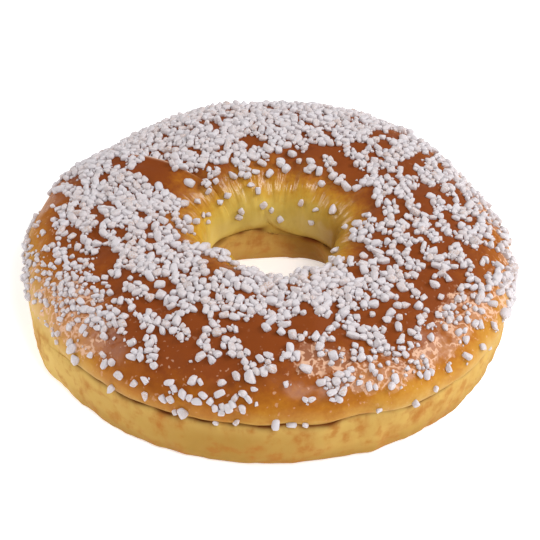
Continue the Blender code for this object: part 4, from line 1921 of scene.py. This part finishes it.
    def build_strays(self) -> bpy.types.Object:
        """Lays the single grains that lie apart and joins them into one piece.

        Returns:
            The piece.
        """
        grains = WALL_GRAINS + RIM_GRAINS + FRONT_GRAINS
        seats = [(math.radians(at), crossing, radius) for at, crossing, radius in grains]
        return self.build_piece("sugar_strays", GrainShape.BLOCK, *self.seat(seats))

    def build(self, kind: SugarKind) -> bpy.types.Object:
        """Lays one kind of grain and joins it into one piece.

        Args:
            kind: The kind of grain.

        Returns:
            The piece.
        """
        return self.build_piece(kind.name, kind.shape, *self.lay(kind))

    def build_piece(
        self, name: str, shape: GrainShape, places: np.ndarray, normals: np.ndarray, radii: np.ndarray
    ) -> bpy.types.Object:
        """Joins grains into one piece.

        Args:
            name: The piece's name.
            shape: How the grains are broken and worn.
            places: Where they lie.
            normals: The outward direction of the crust there.
            radii: Their radii.

        Returns:
            The piece.
        """
        count = len(places)
        which = self.draw.integers(0, self.variants, count)
        sides = self.draw.uniform(self.least_sides, self.most_sides, (count, 3)) * radii[:, None]
        turns = self.turns(normals)
        lift = radii * (1 - 2 * self.sunk) * self.draw.uniform(*self.lifts, count)
        centres = places + normals * lift[:, None]
        damp = np.clip(self.draw.normal(*self.dampness, count), 0, 1)
        damp = damp + self.soaked_dampness * (self.draw.uniform(size=count) < self.soaked_share)
        points, faces, dampness = [], [], []
        start = 0
        for variant in range(self.variants):
            chosen = np.flatnonzero(which == variant)
            corners, triangles = self.grain(shape, self.seed * self.variant_seeds + variant)
            local = corners[None] * sides[chosen][:, None, :]
            placed = np.einsum("gij,gvj->gvi", turns[chosen], local) + centres[chosen][:, None, :]
            offsets = start + np.arange(len(chosen)) * len(corners)
            points.append(placed.reshape(-1, 3))
            faces.append((triangles[None] + offsets[:, None, None]).reshape(-1, 3))
            dampness.append(np.repeat(damp[chosen], len(corners)))
            start += placed.shape[0] * placed.shape[1]
        mesh = bpy.data.meshes.new(name)
        mesh.from_pydata(np.concatenate(points).tolist(), [], np.concatenate(faces).tolist())
        mesh.shade_smooth()
        mesh.set_sharp_from_angle(angle=self.sharp_edge)
        hold(mesh, "surface_place", np.concatenate(points))
        hold(mesh, "damp", np.clip(np.concatenate(dampness), 0, 1))
        mesh.materials.append(self.finish.material())
        piece = bpy.data.objects.new(name, mesh)
        bpy.context.scene.collection.objects.link(piece)
        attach(piece, BODY)
        return piece


@dataclass(frozen=True)
class SoftLight:
    """One soft light of the studio: its name, place, width, length and power in metres and watts."""

    name: str
    place: Triple
    width: float
    length: float
    power: float


@dataclass
class Studio:
    """The plain pale floor, the soft lights and the camera at the photograph's angle."""

    elevation: float = math.radians(40.36)
    distance: float = 0.80
    focal_pixels: float = 1690.0
    picture_pixels: int = 540
    sensor_width: float = 36.0
    aim: Triple = (0.0015, -0.0009, 0.0179)
    floor: FloorFinish = field(default_factory=FloorFinish)
    floor_size: float = 12.0
    floor_gap: float = 0.0003
    sky: float = 0.25
    lights: tuple[SoftLight, ...] = (
        SoftLight("light_front", (0.35, -0.75, 1.05), 0.35, 0.50, 6.8),
        SoftLight("light_right", (0.95, 0.10, 0.85), 0.55, 0.55, 10.2),
        SoftLight("light_left", (-1.00, 0.05, 0.60), 0.50, 0.50, 5.0),
    )

    def build(self) -> None:
        """Builds the floor, the lights, the sky and the camera."""
        self.build_floor()
        for light in self.lights:
            self.build_light(light)
        self.build_sky()
        self.build_camera()
        bpy.context.scene.view_settings.view_transform = "Standard"

    def build_floor(self) -> None:
        """Lays the floor just under the base."""
        work = bmesh.new()
        bmesh.ops.create_grid(work, x_segments=1, y_segments=1, size=self.floor_size / 2)
        mesh = bpy.data.meshes.new("floor")
        work.to_mesh(mesh)
        work.free()
        mesh.materials.append(self.floor.material())
        floor = bpy.data.objects.new("floor", mesh)
        floor.location = (0.0, 0.0, -self.floor_gap)
        bpy.context.scene.collection.objects.link(floor)

    @staticmethod
    def build_light(light: SoftLight) -> None:
        """Hangs one soft light that faces the brioche.

        Args:
            light: The light's place, size and power.
        """
        data = bpy.data.lights.new(light.name, "AREA")
        data.shape = "RECTANGLE"
        data.size = light.width
        data.size_y = light.length
        data.energy = light.power
        lamp = bpy.data.objects.new(light.name, data)
        lamp.location = light.place
        lamp.rotation_mode = "QUATERNION"
        lamp.rotation_quaternion = Vector(light.place).to_track_quat("Z", "Y")
        bpy.context.scene.collection.objects.link(lamp)

    def build_sky(self) -> None:
        """Fills the room with even light."""
        world = bpy.data.worlds.new("studio")
        world.use_nodes = True
        background = world.node_tree.nodes["Background"]
        background.inputs["Color"].default_value = WHITE
        background.inputs["Strength"].default_value = self.sky
        bpy.context.scene.world = world

    def build_camera(self) -> None:
        """Stands the camera where the photograph was taken from."""
        data = bpy.data.cameras.new("camera")
        camera = bpy.data.objects.new("camera", data)
        back = Vector((0.0, -math.cos(self.elevation), math.sin(self.elevation)))
        camera.location = Vector(self.aim) + back * self.distance
        camera.rotation_mode = "QUATERNION"
        camera.rotation_quaternion = (-back).to_track_quat("-Z", "Y")
        data.sensor_width = self.sensor_width
        data.lens = self.focal_pixels / self.picture_pixels * self.sensor_width
        bpy.context.scene.collection.objects.link(camera)
        bpy.context.scene.camera = camera


SUGAR_KINDS = (
    SugarKind("sugar_grains", 1350, 0.0022, 0.0016, GrainShape.BLOCK, 26000, 0.80),
    SugarKind("sugar_chips", 1300, 0.0016, 0.0010, GrainShape.CHIP, 26000, 0.78),
    SugarKind("sugar_crumbs", 1500, 0.0010, 0.0006, GrainShape.CHIP, 20000, 0.74),
    SugarKind("sugar_dust", 1400, 0.0006, 0.0003, GrainShape.SPECK, 8000, 0.70),
)


# Grains that lie apart: the azimuth in degrees, the crossing and the radius in metres.
WALL_GRAINS: tuple[Triple, ...] = (
    (137, 0.750, 0.0017), (128, 0.735, 0.0016), (101, 0.740, 0.0016), (97, 0.800, 0.0018),
    (123, 0.850, 0.0020), (120, 0.830, 0.0017), (79, 0.860, 0.0018), (60, 0.760, 0.0015),
    (47, 0.840, 0.0016), (46, 0.780, 0.0013), (32, 0.730, 0.0020), (150, 0.760, 0.0013),
    (153, 0.790, 0.0012),
)
RIM_GRAINS: tuple[Triple, ...] = (
    (65, 0.570, 0.0021), (72, 0.575, 0.0018), (57, 0.605, 0.0022), (64, 0.615, 0.0019),
    (79, 0.625, 0.0022), (83, 0.585, 0.0019), (52, 0.645, 0.0019), (49, 0.590, 0.0020),
    (44, 0.580, 0.0018), (90, 0.645, 0.0018), (95, 0.610, 0.0021), (98, 0.580, 0.0020),
    (92, 0.580, 0.0018), (101, 0.645, 0.0017), (31, 0.580, 0.0020), (135, 0.615, 0.0017),
    (130, 0.655, 0.0016), (128, 0.615, 0.0017), (139, 0.632, 0.0015), (138, 0.655, 0.0016),
    (135, 0.668, 0.0015), (140, 0.685, 0.0014), (118, 0.655, 0.0020), (109, 0.625, 0.0020),
    (107, 0.665, 0.0019), (107, 0.705, 0.0016), (154, 0.755, 0.0014), (170, 0.715, 0.0018),
)
FRONT_GRAINS: tuple[Triple, ...] = (
    (218, 0.183, 0.0018), (221, 0.142, 0.0021), (230, 0.195, 0.0019), (232, 0.208, 0.0018),
    (235, 0.185, 0.0020), (233, 0.117, 0.0022), (239, 0.175, 0.0016), (242, 0.150, 0.0018),
    (241, 0.275, 0.0019), (242, 0.252, 0.0018), (246, 0.158, 0.0017), (248, 0.160, 0.0018),
    (247, 0.217, 0.0017), (250.5, 0.195, 0.0022), (252, 0.183, 0.0019), (251, 0.120, 0.0022),
    (252, 0.242, 0.0024), (254, 0.178, 0.0020), (255, 0.205, 0.0018), (257, 0.185, 0.0017),
    (258, 0.165, 0.0016), (259, 0.218, 0.0019), (259, 0.250, 0.0018), (261, 0.167, 0.0020),
    (262, 0.187, 0.0019), (262.5, 0.210, 0.0016), (264, 0.168, 0.0018), (264, 0.225, 0.0019),
    (265.5, 0.208, 0.0017), (263, 0.092, 0.0013), (258, 0.050, 0.0014), (267, 0.192, 0.0010),
    (275, 0.030, 0.0021), (278, 0.050, 0.0015), (294, 0.125, 0.0015), (302, 0.108, 0.0019),
    (308, 0.125, 0.0015),
)


def main() -> None:
    """Builds the studio, the crust and the sugar, and reports each piece."""
    logging.basicConfig(level=logging.INFO, format="%(message)s", stream=sys.stdout)
    Studio().build()
    surface = CrustSurface()
    strewing = SugarStrewing(surface)
    pieces = [Crust(surface).build(), strewing.build_pearls(), strewing.build_strays()]
    pieces += [strewing.build(kind) for kind in SUGAR_KINDS]
    for piece in pieces:
        LOG.info("%s: %d faces", piece.name, len(piece.data.polygons))


if __name__ == "__main__":
    main()
